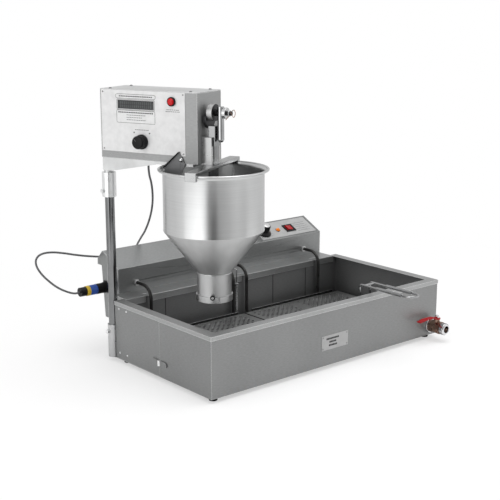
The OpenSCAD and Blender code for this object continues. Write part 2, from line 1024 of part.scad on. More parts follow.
module thermostat_knob() {
    seat = panel_t + free_gap;
    color("black")
    in_frame()
    on_slope(dial_x, control_up) {
        translate([0, 0, -dial_shaft_l])
            cylinder(d = dial_shaft_d, h = dial_shaft_l + seat);
        translate([0, 0, seat])
            rotate_extrude()
                polygon([
                    [0, 0],
                    [dial_d / 2, 0],
                    [dial_d / 2, dial_skirt_h / 2],
                    [dial_body_d / 2, dial_skirt_h],
                    [dial_body_d / 2 - sheet, dial_h],
                    [0, dial_h]
                ]);
    }
}

module pilot_lamp() {
    color("orange")
    in_frame()
    on_slope(lamp_x, control_up) {
        translate([0, 0, -lamp_body_l])
            cylinder(d = lamp_d, h = lamp_body_l + panel_t);
        translate([0, 0, panel_t])
            rotate_extrude()
                polygon([
                    [0, 0],
                    [lamp_d / 2 + sheet, 0],
                    [lamp_d / 2 + sheet, sheet],
                    [lamp_d / 2, lamp_h / 2],
                    [lamp_d / 4, lamp_h],
                    [0, lamp_h]
                ]);
    }
}

module rocker_housing() {
    color("black")
    in_frame()
    on_slope(switch_x, control_up)
    difference() {
        union() {
            translate([0, 0, panel_t + bezel_h / 2])
                cube([switch_l() + 2 * bezel_edge, switch_w() + 2 * bezel_edge, bezel_h], center = true);
            translate([0, 0, panel_t - switch_h / 2])
                cube([switch_l() - 2 * run_gap, switch_w() - 2 * run_gap, switch_h], center = true);
        }
        translate([0, 0, panel_t + bezel_h])
            cube([rocker_l + 2 * rocker_play, rocker_w + 2 * rocker_play, 2 * rocker_pocket], center = true);
    }
}

module rocker_button() {
    color("red")
    in_frame()
    on_slope(switch_x, control_up)
    translate([0, rocker_w / 2, panel_t])
        rotate([90, 0, 0])
            linear_extrude(rocker_w)
                polygon([
                    [-rocker_l / 2 + rocker_draft, rocker_peak],
                    [-rocker_l / 2, -rocker_keel / 2],
                    [0, -rocker_pocket + bezel_h + free_gap],
                    [rocker_l / 2, -rocker_keel / 2],
                    [rocker_l / 2 - rocker_draft, rocker_dip],
                    [0, rocker_rise]
                ]);
}

// Heaters

// Each heater goes down one leg, folds to and fro under the grid and comes up the other leg
function heater_route(x) = [
    [x, face_y + root_in, root_z],
    [x, leg_y, root_z],
    [x, leg_y, loop_z],
    for (i = [0 : heater_folds - 1], k = [0, 1])
        [x + (i + k) * loop_s, i % 2 == 0 ? rim_w + loop_front : leg_y - loop_back, loop_z],
    [x + leg_span, leg_y, loop_z],
    [x + leg_span, leg_y, root_z],
    [x + leg_span, face_y + root_in, root_z]
];
HEATER_RADII = [
    heater_bend,
    heater_bend,
    for (i = [1 : 2 * heater_folds]) loop_r,
    heater_bend,
    heater_bend
];

module left_heater() {
    color("black")
    in_frame()
    bent_rod(heater_route(left_leg_x), HEATER_RADII, heater_d);
}

module right_heater() {
    color("black")
    in_frame()
    bent_rod(heater_route(right_leg_x), HEATER_RADII, heater_d);
}

module heater_bushings() {
    color("gainsboro")
    in_frame()
    for (x = LEGS)
        translate([x, face_y - bushing_l, root_z])
            rotate([-90, 0, 0])
                difference() {
                    cylinder(d = bushing_d, h = bushing_l, $fn = 6);
                    translate([0, 0, -over])
                        cylinder(d = heater_d + 2 * run_gap, h = bushing_l + 2 * over);
                }
}

module thermostat_bulb() {
    bulb_x = LEGS[1] + heater_d / 2 + bead_d / 2;
    color("lightgray")
    in_frame()
    translate([bulb_x, leg_y, 0]) {
        translate([0, 0, grid_z + bulb_d])
            cylinder(d = bulb_d, h = bulb_l);
        translate([0, 0, grid_z + bulb_d + bulb_l])
            cylinder(d = capillary_d, h = root_z - grid_z - bulb_l - bulb_d);
        translate([0, 0, rim_z - lip_h - bead_h])
            cylinder(d = bead_d - 2 * free_gap, h = bead_h);
        translate([0, 0, root_z])
            sphere(d = capillary_d);
        translate([0, 0, root_z])
            rod_y(0, face_y - leg_y, capillary_d);
    }
}

// Connector and cord

module connector_socket() {
    color("black")
    in_frame()
    translate([box_x, plug_y, plug_z]) {
        translate([-socket_flange_t / 2, 0, 0])
            cube([socket_flange_t, socket_flange, socket_flange], center = true);
        rod_x(-socket_flange_t - socket_tube_l, -socket_flange_t, socket_tube_d);
    }
}

module plug_shell() {
    front_x = box_x - socket_flange_t - socket_tube_l;
    ring_x = front_x - plug_front_l;
    back_x = ring_x - blue_l - yellow_l;
    color("black")
    in_frame()
    translate([0, plug_y, plug_z]) {
        rod_x(ring_x, front_x, plug_front_d);
        rod_x(back_x, ring_x, plug_core_d);
        rod_x(plug_back_x, back_x, plug_back_d);
    }
}

module plug_rings() {
    ring_x = box_x - socket_flange_t - socket_tube_l - plug_front_l;
    color("royalblue")
    in_frame()
    translate([0, plug_y, plug_z])
        for (r = [[ring_x - blue_l, ring_x], [ring_x - blue_l - yellow_l, ring_x - blue_l - run_gap]])
            difference() {
                rod_x(r[0], r[1], plug_ring_d);
                rod_x(r[0] - over, r[1] + over, plug_core_d + 2 * run_gap);
            }
}

// A cord is one tube swept along a smooth curve through its route
function spline(a, b, c, d, t) =
    b + t / 2 * (c - a) + t * t * (a - 5 / 2 * b + 2 * c - d / 2) + t * t * t / 2 * (3 * b - a - 3 * c + d);
function curve(p, n) = [
    for (i = [0 : len(p) - 2], j = [0 : n - 1])
        spline(p[max(i - 1, 0)], p[i], p[i + 1], p[min(i + 2, len(p) - 1)], j / n),
    p[len(p) - 1]
];
function tangents(c, p) = [
    unit(p[1] - p[0]),
    for (i = [1 : len(c) - 2])
        unit(c[i + 1] - c[i - 1]),
    unit(p[len(p) - 1] - p[len(p) - 2])
];
function carried(n, t) = unit(n - t * (n * t));

module cord_tube(route, d, sides, steps) {
    c = curve(route, steps);
    t = tangents(c, route);
    normals = [
        for (i = 0, n = carried([1, 0, 0], t[0]); i < len(c); i = i + 1,
            n = carried(n, t[min(i, len(c) - 1)])) n
    ];
    points = [
        for (i = [0 : len(c) - 1], k = [0 : sides - 1])
            c[i] + d / 2 * (cos(360 * k / sides) * normals[i]
                + sin(360 * k / sides) * cross(t[i], normals[i]))
    ];
    sleeve = [
        for (i = [0 : len(c) - 2], k = [0 : sides - 1], half = [0, 1])
            let (
                a = i * sides + k,
                b = i * sides + (k + 1) % sides
            )
            half == 0 ? [a, a + sides, b] : [b, a + sides, b + sides]
    ];
    start_cap = [for (k = [1 : sides - 2]) [0, k, k + 1]];
    last = (len(c) - 1) * sides;
    end_cap = [for (k = [1 : sides - 2]) [last, last + k + 1, last + k]];
    polyhedron(points, concat(sleeve, start_cap, end_cap));
}

module control_cord() {
    color("dimgray")
    in_frame()
    cord_tube(CORD, cord_d, cord_sides, cord_steps);
}

module cord_gland() {
    color("black")
    in_head()
    translate([gland_x, gland_y, head_z - gland_h]) {
        cylinder(d1 = gland_tip_d, d2 = gland_d - sheet, h = gland_h - gland_nut_h);
        translate([0, 0, gland_h - gland_nut_h])
            cylinder(d = gland_d, h = gland_nut_h, $fn = 6);
    }
}

// Grids

// Rows of holes with another hole between every four, so many steps of the pitch long
module hole_field(x, columns) {
    for (j = [0 : hole_rows], i = [0 : columns])
        translate([x + i * hole_pitch, hole_low_y + j * hole_pitch])
            circle(d = hole_d);
    for (j = [1 : hole_rows], i = [1 : columns])
        translate([x + (i - 0.5) * hole_pitch, hole_low_y + (j - 0.5) * hole_pitch])
            circle(d = hole_d);
}

module grid_plate() {
    left_columns = floor((band_x - band_half - hole_edge) / hole_pitch);
    right_columns = floor((grid_l - hole_edge - band_x - band_half) / hole_pitch);
    difference() {
        square([grid_l, grid_w]);
        hole_field(band_x - band_half - left_columns * hole_pitch, left_columns);
        hole_field(band_x + band_half, right_columns);
    }
}

module grid(x) {
    translate([x, grid_y, 0]) {
        translate([0, 0, grid_z - sheet])
            linear_extrude(sheet)
                grid_plate();
        for (edge = [0, grid_l - sheet])
            translate([edge, 0, floor_z])
                cube([sheet, grid_w, grid_h - sheet]);
        slab([grid_lip_in, grid_w - sheet, grid_z - sheet], [grid_l - grid_lip_in, grid_w, grid_z + grid_lip_h]);
    }
}

module left_grid() {
    color("gray")
    in_frame()
    grid(grid_x);
}

module right_grid() {
    color("gray")
    in_frame()
    grid(tank_l / 2 + grid_gap / 2);
}

module grid_handle() {
    top_z = grid_z + handle_h;
    end_y = handle_y - handle_reach;
    grip_y = end_y + handle_w / 2 + grip_end;
    color("silver")
    in_frame() {
        bent_rod([
            [handle_x, handle_y, grid_z],
            [handle_x, handle_y, top_z],
            [handle_x, end_y + handle_w / 2, top_z]
        ], [handle_bend], wire_d);
        bent_rod([
            [handle_x + handle_w, handle_y, grid_z],
            [handle_x + handle_w, handle_y, top_z],
            [handle_x + handle_w, end_y + handle_w / 2, top_z]
        ], [handle_bend], wire_d);
        translate([handle_x + handle_w / 2, end_y + handle_w / 2, top_z])
            rotate([0, 0, 180])
                rotate_extrude(angle = 180)
                    translate([handle_w / 2, 0])
                        circle(d = wire_d);
        translate([0, handle_y - 2 * handle_bend, top_z])
            rod_x(handle_x, handle_x + handle_w, wire_d);
        for (x = [handle_x, handle_x + handle_w])
            translate([x, 0, top_z])
                rod_y(grip_y, grip_y + grip_l, grip_d);
    }
}

// Head

module head_case() {
    color("lightslategray")
    in_head()
    difference() {
        slab([head_x0, head_y0, head_z], [head_x1, head_y1, head_top - sheet]);
        slab([head_x0 + sheet, head_y0 + sheet, head_z + sheet],
            [head_x1 - sheet, head_y1 - sheet, head_top]);
        panel_holes();
        slab([head_x0 - over, window_y - window_l / 2, window_z - window_h / 2],
            [head_x0 + sheet + over, window_y + window_l / 2, window_z + window_h / 2]);
        at_end(0, drive_z)
            rod_y(-over, sheet + over, shaft_d + 2 * free_gap);
    }
}

module panel_holes() {
    translate([0, button_y, button_z])
        rod_x(label_x - over, head_x0 + sheet + over, button_d + 2 * free_gap);
    translate([0, knob_y, knob_z])
        rod_x(label_x - over, head_x0 + sheet + over, knob_shaft_d + 2 * free_gap);
}

module head_lid() {
    color("lightsteelblue")
    in_head()
    slab([head_x0, head_y0, head_top - sheet], [head_x1, head_y1, head_top]);
}

module head_screws() {
    color("gainsboro")
    in_head() {
        for (x = [head_x0 + lid_screw_inset, head_x1 - lid_screw_inset],
            y = [head_y0 + lid_screw_side, head_y1 - lid_screw_side])
            translate([x, y, head_top])
                rivet(lid_screw_d, lid_screw_h);
        for (y = [label_y0 + label_screw_inset, label_y1 - label_screw_inset],
            z = [label_z0 + label_screw_inset, label_z1 - label_screw_inset])
            translate([label_x, y, z])
                rotate([0, -90, 0])
                    rivet(label_screw_d, label_screw_h);
        translate([label_x - guide_t, guide_bolt_y, guide_bolt_z])
            rotate([0, -90, 0])
                rivet(guide_bolt_d + guide_bolt_h, guide_bolt_h);
        translate([0, guide_bolt_y, guide_bolt_z])
            rod_x(label_x, head_x0, guide_bolt_d + guide_bolt_h);
    }
}

module head_label() {
    color("whitesmoke")
    in_head()
    difference() {
        slab([label_x, label_y0, label_z0], [head_x0, label_y1, label_z1]);
        panel_holes();
        slab([label_x - over, window_y - window_l / 2, window_z - window_h / 2],
            [head_x0 + over, window_y + window_l / 2, window_z + window_h / 2]);
    }
}

module display_window() {
    color("darkslategray")
    in_head()
    slab([label_x, window_y - window_l / 2 + run_gap, window_z - window_h / 2 + run_gap],
        [label_x + window_t, window_y + window_l / 2 - run_gap, window_z + window_h / 2 - run_gap]);
}

module start_bezel() {
    color("black")
    in_head()
    translate([label_x, button_y, button_z])
    difference() {
        rod_x(-bezel_l, 0, bezel_d);
        rod_x(-bezel_l - over, over, button_d + 2 * free_gap);
    }
}

module start_button() {
    color("red")
    in_head()
    translate([label_x + button_in, button_y, button_z])
        rotate([0, -90, 0])
            rotate_extrude()
                polygon([
                    [0, 0],
                    [button_d / 2, 0],
                    [button_d / 2, button_in + button_out - button_dome],
                    for (a = [15 : 15 : 90])
                        [
                            button_d / 2 * cos(a),
                            button_in + button_out - button_dome + button_dome * sin(a)
                        ]
                ]);
}

module mode_knob() {
    color("black")
    in_head()
    translate([label_x - free_gap, knob_y, knob_z])
        rotate([0, -90, 0])
        difference() {
            rotate_extrude()
                polygon([
                    [0, -knob_shaft_l],
                    [knob_shaft_d / 2, -knob_shaft_l],
                    [knob_shaft_d / 2, 0],
                    [knob_d / 2, 0],
                    [knob_d / 2, knob_skirt_h],
                    [knob_d / 2 - knob_taper, knob_h],
                    [0, knob_h]
                ]);
            rotate([0, 0, knob_rest])
                translate([0, -knob_mark_w / 2, knob_h - sheet])
                    cube([knob_d, knob_mark_w, knob_h]);
        }
}

module arm_side(t) {
    polygon([
        [arm_post_y - t, head_z + (t > 0 ? over : 0)],
        [arm_end_y + t, head_z + (t > 0 ? over : 0)],
        [arm_end_y + t, head_z - arm_tip_h + t],
        [arm_tip_y, head_z - arm_tip_h + t],
        [arm_post_y - arm_flat, arm_z + t],
        [arm_post_y - t, arm_z + t]
    ]);
}

module head_arm() {
    color("lightgray")
    in_head() {
        difference() {
            along_x(arm_x, arm_x + arm_w)
                arm_side(0);
            along_x(arm_x + sheet, arm_x + arm_w - sheet)
                arm_side(sheet);
        }
        translate([0, 0, stub_z])
        difference() {
            cylinder(d = post_d, h = stub_l);
            translate([0, 0, -over])
                cylinder(d = post_d - 2 * post_wall, h = stub_l + over);
        }
    }
}

module gearmotor() {
    y0 = head_y0 + sheet;
    color("slategray")
    in_head()
    translate([drive_x, 0, drive_z])
    difference() {
        union() {
            slab([-gearbox_w / 2, y0, -gearbox_h / 2], [gearbox_w / 2, y0 + gearbox_l, gearbox_h / 2]);
            rod_y(y0 + gearbox_l, y0 + gearbox_l + motor_l, motor_d);
            rod_y(y0 + gearbox_l + motor_l, y0 + gearbox_l + motor_l + motor_edge, motor_d - 2 * motor_edge);
        }
        rod_y(y0 - over, y0 + shaft_in, shaft_d + 2 * run_gap);
    }
}

// Crank drive

module crank() {
    color("darkgray")
    in_head() {
        at_end(0, drive_z) {
            rod_y(-disc_gap, sheet + shaft_in - over, shaft_d);
            rod_y(-disc_gap - disc_t, -disc_gap, disc_d);
        }
        at_end(0, pin_z) {
            rod_y(-shoulder_out, -boss_out, boss_d);
            rod_y(-shoulder_out - shoulder_t, -shoulder_out, shoulder_d);
            rod_y(-pin_out, -shoulder_out, pin_d);
        }
    }
}

module pin_keeper() {
    color("gainsboro")
    in_head() {
        at_end(0, pin_z)
        difference() {
            rod_y(-nut_out - nut_t, -nut_out, nut_d);
            rod_y(-nut_out - nut_t - over, -nut_out + over, pin_d + 2 * run_gap);
        }
        at_end(nut_out + nut_t + pin_tail * keeper_share, pin_z)
            rotate([90, 0, 0])
                rotate_extrude()
                    translate([pin_d / 2 + keeper_d / 2 + run_gap, 0])
                        circle(d = keeper_d);
    }
}

module con_rod() {
    color("silver")
    in_head()
    difference() {
        translate([drive_x, head_y0 - rod_axis, 0]) {
            translate([0, 0, rod_z + rod_d / 2])
                cylinder(d = rod_d, h = rod_l - rod_d / 2);
            translate([0, 0, rod_z + rod_d / 2])
                sphere(d = rod_d);
        }
        at_end(0, pin_z)
            rod_y(-rod_out - rod_d - over, -rod_out + over, pin_d + 2 * run_gap);
    }
}

module guide_rails() {
    color("lightgray")
    in_head()
    translate([drive_x, head_y0, bar_z + bar_t]) {
        slab([-head_w / 2 - rail_w, -rail_t, 0], [head_w / 2 + rail_w, 0, rail_h]);
        for (s = [-1, 1])
            translate([s * (head_w / 2 + rail_w / 2 + free_gap / 2), -rail_d / 2, rail_h / 2])
                cube([rail_w - free_gap, rail_d, rail_h], center = true);
    }
}

module plunger() {
    low = piston_z + piston_h + piston_cone;
    color("silver")
    in_head() {
        translate([drive_x - head_w / 2, head_y0 - boss_out - rod_gap - crosshead_t, crosshead_z])
            cube([head_w, crosshead_t, crosshead_l]);
        translate([drive_x, hopper_y, low])
        difference() {
            cylinder(d = plunger_d, h = crosshead_z - low);
            translate([0, 0, -over])
                cylinder(d = plunger_d - 2 * plunger_wall, h = crosshead_z - low);
        }
    }
}

module piston() {
    inner = nozzle_d / 2 - sheet - piston_gap;
    color("gainsboro")
    in_head()
    translate([drive_x, hopper_y, piston_z])
        rotate_extrude()
            polygon([
                [0, 0],
                [inner - sheet, 0],
                [inner, sheet],
                [inner, piston_h],
                [plunger_d / 2, piston_h + piston_cone],
                [0, piston_h + piston_cone]
            ]);
}

// Hopper and its holder

module crossbar() {
    reach = rim_d / 2 + bar_out;
    color("silver")
    in_head()
    translate([drive_x, hopper_y, 0])
    rotate([0, 0, bar_turn])
    difference() {
        union() {
            slab([-reach - bar_t, -bar_w / 2, bar_z], [reach + bar_t, bar_w / 2, bar_z + bar_t]);
            for (s = [-1, 1])
                translate([s * (reach + bar_t / 2), 0, bar_z + bar_t - bar_end_h / 2])
                    cube([bar_t, bar_w, bar_end_h], center = true);
        }
        translate([0, 0, bar_z - over])
            cylinder(d = plunger_d + 2 * free_gap, h = bar_t + 2 * over);
    }
}

module hopper() {
    color("silver")
    in_head()
    translate([drive_x, hopper_y, 0])
        rotate_extrude()
            polygon([
                [nozzle_d / 2 - sheet, outlet_z],
                [nozzle_d / 2, outlet_z],
                [nozzle_d / 2, nozzle_z],
                [hopper_d / 2, cone_z],
                [hopper_d / 2, hopper_z - flare_h],
                [rim_d / 2, hopper_z - sheet],
                [rim_d / 2, hopper_z],
                [rim_d / 2 - sheet, hopper_z],
                [hopper_d / 2 - sheet, hopper_z - flare_h + sheet],
                [hopper_d / 2 - sheet, cone_z],
                [nozzle_d / 2 - sheet, nozzle_z]
            ]);
}

module nozzle_ring() {
    outer = nozzle_d / 2 + run_gap + ring_wall;
    color("lightgray")
    in_head()
    translate([drive_x, hopper_y, outlet_z]) {
        difference() {
            rotate_extrude()
                polygon([
                    [nozzle_d / 2 - sheet - ring_lip, -ring_lip_t],
                    [outer, -ring_lip_t],
                    [outer, ring_h],
                    [nozzle_d / 2 + run_gap, ring_h],
                    [nozzle_d / 2 + run_gap, 0],
                    [nozzle_d / 2 - sheet - ring_lip, 0]
                ]);
            rotate([0, 0, ring_split_angle])
                slab([nozzle_d / 2 - over, -ring_split / 2, 0], [outer + over, ring_split / 2, ring_h + over]);
        }
        rotate([0, 0, ring_screw_angle])
            translate([0, 0, ring_h])
                rod_x(outer - sheet, outer + ring_screw_l, ring_screw_d);
    }
}

module hopper_guide() {
    low = head_z - guide_low;
    tail = head_z - guide_tail_low;
    mid = head_z - guide_mid_low;
    high = head_z + guide_high;
    color("gray")
    in_head()
    difference() {
        union() {
            along_x(label_x - guide_t, label_x)
                polygon([
                    [guide_y3, tail],
                    [guide_heel_y, low],
                    [guide_y1, low],
                    [guide_y0, mid],
                    [guide_y2, high]
                ]);
            along_x(label_x - guide_t - guide_fold, label_x)
                polygon([
                    [guide_y3, tail],
                    [guide_y2, high],
                    [guide_y2 - guide_t, high],
                    [guide_y3 - 2 * guide_t, tail]
                ]);
        }
        translate([0, guide_bolt_y, guide_bolt_z])
            rod_x(label_x - guide_t - over, label_x + over, guide_bolt_d);
    }
}

casing_wrap();
casing_rear();
feet();
bath();
rim_frame();
seam_clip();
casing_rivets();
front_plate();
drain_nipple();
valve_body();
outlet_fitting();
valve_ball();
valve_stem();
valve_lever();
post_socket();
post_tube();
swivel_collar();
set_screws();
control_box();
control_ends();
splash_ledge();
control_plate();
thermostat_body();
thermostat_knob();
pilot_lamp();
rocker_housing();
rocker_button();
left_heater();
right_heater();
heater_bushings();
thermostat_bulb();
connector_socket();
plug_shell();
plug_rings();
control_cord();
left_grid();
right_grid();
grid_handle();
head_case();
head_lid();
head_screws();
head_label();
display_window();
start_bezel();
start_button();
mode_knob();
head_arm();
gearmotor();
guide_rails();
crank();
pin_keeper();
con_rod();
plunger();
piston();
crossbar();
hopper();
nozzle_ring();
hopper_guide();
cord_gland();
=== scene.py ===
"""Looks of a table-top donut fryer: finishes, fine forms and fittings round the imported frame, in metres."""

import math

import bmesh
import bpy
from mathutils import Matrix, Vector


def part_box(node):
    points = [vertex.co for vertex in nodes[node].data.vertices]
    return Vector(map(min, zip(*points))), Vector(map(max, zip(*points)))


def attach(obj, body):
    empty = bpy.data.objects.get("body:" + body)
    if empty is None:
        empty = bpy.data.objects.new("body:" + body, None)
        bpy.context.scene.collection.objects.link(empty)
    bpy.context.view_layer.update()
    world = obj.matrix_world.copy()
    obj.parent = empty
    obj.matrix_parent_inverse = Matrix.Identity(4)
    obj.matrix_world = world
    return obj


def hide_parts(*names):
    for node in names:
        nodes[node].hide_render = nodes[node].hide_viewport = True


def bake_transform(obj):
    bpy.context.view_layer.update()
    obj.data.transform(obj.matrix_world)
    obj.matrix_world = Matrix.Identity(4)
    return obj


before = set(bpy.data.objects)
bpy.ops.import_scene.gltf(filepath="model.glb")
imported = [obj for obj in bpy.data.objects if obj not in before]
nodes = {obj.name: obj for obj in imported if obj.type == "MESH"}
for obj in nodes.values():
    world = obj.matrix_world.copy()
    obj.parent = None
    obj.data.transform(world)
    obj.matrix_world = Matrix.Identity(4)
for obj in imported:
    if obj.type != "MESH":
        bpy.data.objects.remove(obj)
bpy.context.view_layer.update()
scene = bpy.context.scene
scene.view_settings.view_transform = "Standard"


# Camera
# Stands at the front left of the tank, a little above the rim of the hopper, as in the photograph. Its long
# lens keeps the tank's edges nearly parallel.
camera_lens = bpy.data.cameras.new("camera")
camera_lens.lens = 76.2
camera_lens.sensor_width = 36.0
camera = bpy.data.objects.new("camera", camera_lens)
camera.location = (-2.0523, -2.2814, 1.0322)
camera.rotation_euler = (math.radians(76.74), 0.0, math.radians(-40.33))
scene.collection.objects.link(camera)
scene.camera = camera


# Studio
# A pale floor, soft lamps, and a white surround that is brightest at the left. A dark gap in the surround,
# in front of the object, gives the hopper its dark band.
floor_size = 1.6
floor_grey = (0.92, 0.92, 0.92, 1.0)
white = (1.0, 1.0, 1.0, 1.0)
fade_from, fade_to, fade_least = 0.5, 1.5, 0.5


def made_mesh(name, shape):
    """The finished mesh of a shape."""
    mesh = bpy.data.meshes.new(name)
    shape.to_mesh(mesh)
    shape.free()
    return mesh


def new_piece(name, mesh, material=None):
    """A finished piece at the origin, with its place in its mesh."""
    piece = bpy.data.objects.new(name, mesh)
    scene.collection.objects.link(piece)
    if material:
        mesh.materials.append(material)
    return piece


def new_material(name):
    """An empty node material, with its tree and its main shader."""
    material = bpy.data.materials.new(name)
    material.use_nodes = True
    tree = material.node_tree
    return material, tree, tree.nodes["Principled BSDF"]


def set_inputs(node, values):
    """Sets a node's inputs to values, or links them to outputs."""
    for socket, value in values.items():
        if isinstance(value, bpy.types.NodeSocket):
            node.id_data.links.new(value, node.inputs[socket])
        else:
            node.inputs[socket].default_value = value


def add_node(tree, kind, values=(), **settings):
    """A node with its settings and its inputs."""
    made = tree.nodes.new(kind)
    for name, value in settings.items():
        setattr(made, name, value)
    set_inputs(made, dict(values))
    return made


def own_place(tree):
    """Where a point lies on the piece, in metres."""
    return add_node(tree, "ShaderNodeTexCoord").outputs["Object"]


def spread(tree, value, from_low, from_high, to_low=0.0, to_high=1.0):
    """A value taken from one range to another, and held at its ends."""
    ends = {"From Min": from_low, "From Max": from_high, "To Min": to_low, "To Max": to_high}
    return add_node(tree, "ShaderNodeMapRange", {"Value": value, **ends}).outputs[0]


def worked_out(tree, what, *values):
    """The result of one sum on up to three values."""
    return add_node(tree, "ShaderNodeMath", dict(enumerate(values)), operation=what).outputs[0]


def reach_along(tree, place, way):
    """How far a place or a direction reaches along another direction."""
    product = add_node(tree, "ShaderNodeVectorMath", {0: place, 1: way}, operation="DOT_PRODUCT")
    return product.outputs["Value"]


floor_shape = bmesh.new()
bmesh.ops.create_grid(floor_shape, x_segments=1, y_segments=1, size=floor_size)
floor_material, floor_tree, floor_shader = new_material("pale_floor")
set_inputs(floor_shader, {"Roughness": 0.9, "Specular IOR Level": 0.0, "Base Color": floor_grey})
floor_seen = add_node(floor_tree, "ShaderNodeLightPath").outputs["Is Camera Ray"]
floor_reach = add_node(floor_tree, "ShaderNodeVectorMath", {0: own_place(floor_tree)}, operation="LENGTH")
floor_fade = spread(floor_tree, floor_reach.outputs["Value"], fade_from, fade_to, fade_least, 1.0)
floor_share = worked_out(floor_tree, "MULTIPLY", floor_fade, floor_seen)
floor_white = add_node(floor_tree, "ShaderNodeEmission", {"Color": white, "Strength": 1.0})
floor_mix = add_node(
    floor_tree, "ShaderNodeMixShader", {0: floor_share, 1: floor_shader.outputs[0], 2: floor_white.outputs[0]}
)
set_inputs(floor_tree.nodes["Material Output"], {"Surface": floor_mix.outputs[0]})
floor = new_piece("floor", made_mesh("floor", floor_shape), floor_material)

world = bpy.data.worlds.new("studio")
scene.world = world
world.use_nodes = True
sky = world.node_tree
sky.nodes.clear()
front_left = math.radians(229.5)
ahead = (math.cos(front_left), math.sin(front_left), 0.0)
aside = (-math.sin(front_left), math.cos(front_left), 0.0)
surround_strength = 1.6
SURROUND = [
    (-180.0, 0.42), (-130.0, 0.46), (-90.0, 0.54), (-60.0, 0.6), (-34.0, 0.86), (-17.0, 0.95), (-11.0, 0.03),
    (6.0, 0.03), (12.0, 0.28), (28.0, 0.32), (50.0, 0.46), (90.0, 0.42), (120.0, 0.5), (150.0, 0.46),
]
sky_way = add_node(sky, "ShaderNodeTexCoord").outputs["Generated"]
sky_angle = worked_out(sky, "ARCTAN2", reach_along(sky, sky_way, aside), reach_along(sky, sky_way, ahead))
surround = add_node(sky, "ShaderNodeValToRGB", {"Fac": spread(sky, sky_angle, -math.pi, math.pi)})
stops = surround.color_ramp.elements
for stop in (stops[0], stops[1]):
    stop.color = (SURROUND[0][1], SURROUND[0][1], SURROUND[0][1], 1.0)
for angle, level in SURROUND[1:]:
    stops.new(angle / 360.0 + 0.5).color = (level, level, level, 1.0)
seen = add_node(sky, "ShaderNodeLightPath").outputs["Is Camera Ray"]
studio_light = add_node(
    sky, "ShaderNodeBackground", {"Color": surround.outputs[0], "Strength": surround_strength}
)
backdrop = add_node(sky, "ShaderNodeBackground", {"Color": white, "Strength": 1.0})
sky_mix = add_node(sky, "ShaderNodeMixShader", {0: seen, 1: studio_light.outputs[0], 2: backdrop.outputs[0]})
add_node(sky, "ShaderNodeOutputWorld", {"Surface": sky_mix.outputs[0]})

LAMPS = [
    ("left_softbox", (-2.9, -0.35, 1.1), (-0.2, 0.0, 0.5), 2.2, 2.0, 9.0),
    ("top_softbox", (0.2, -0.5, 2.9), (0.0, 0.1, 0.3), 2.2, 2.2, 45.0),
    ("right_softbox", (2.4, -1.9, 1.5), (0.1, 0.0, 0.3), 2.0, 2.0, 7.0),
]
for lamp_name, lamp_place, lamp_aim, lamp_width, lamp_height, lamp_power in LAMPS:
    lamp_light = bpy.data.lights.new(lamp_name, "AREA")
    lamp_light.shape = "RECTANGLE"
    lamp_light.size = lamp_width
    lamp_light.size_y = lamp_height
    lamp_light.energy = lamp_power
    lamp = bpy.data.objects.new(lamp_name, lamp_light)
    lamp.location = lamp_place
    lamp.rotation_euler = (Vector(lamp_aim) - Vector(lamp_place)).to_track_quat("-Z", "Y").to_euler()
    scene.collection.objects.link(lamp)


# Tank casing
# Brushed stainless sheet, bent round the tank in two pieces that meet on its left end. The grain runs level
# round every side, and the bends and cut edges are slightly rounded, with a painted highlight along them.
casing_tone = (0.28, 0.283, 0.283)
# Reach and strength of the painted highlight on folds and edges.
fold_radius = 0.003
fold_highlight_gain = 1.9
weld_gap = 0.000005
sharp_edge, flat_join = math.radians(32.0), math.radians(0.2)
brush_grain, fine_grain = (90.0, 600.0, 1.0), (40.0, 5000.0, 1.0)
steep = 0.7


def grain(tree, scale, detail=3.0, place=None, stretch=(1.0, 1.0, 1.0)):
    """A noise value on the piece's own coordinates, stretched where the finish runs one way."""
    placed = add_node(tree, "ShaderNodeMapping", {"Vector": place or own_place(tree), "Scale": stretch})
    settings = {"Vector": placed.outputs[0], "Scale": scale, "Detail": detail}
    return add_node(tree, "ShaderNodeTexNoise", settings).outputs[0]


def between(tree, value, low, high):
    """A noise value, which mostly runs from 0.3 to 0.7, spread from low to high."""
    return spread(tree, value, 0.3, 0.7, low, high)


def scaled(tree, colour, level):
    """A colour made darker or lighter by a level."""
    return add_node(tree, "ShaderNodeVectorMath", {0: colour, "Scale": level}, operation="SCALE").outputs[0]


def shaded(tree, colour, value, low, high):
    """A colour made darker and lighter by a noise value."""
    return scaled(tree, colour, between(tree, value, low, high))


def raised(tree, height, strength, distance):
    """A bump from a height value, in metres at its full height."""
    bump = add_node(tree, "ShaderNodeBump", {"Strength": strength, "Distance": distance, "Height": height})
    return bump.outputs[0]


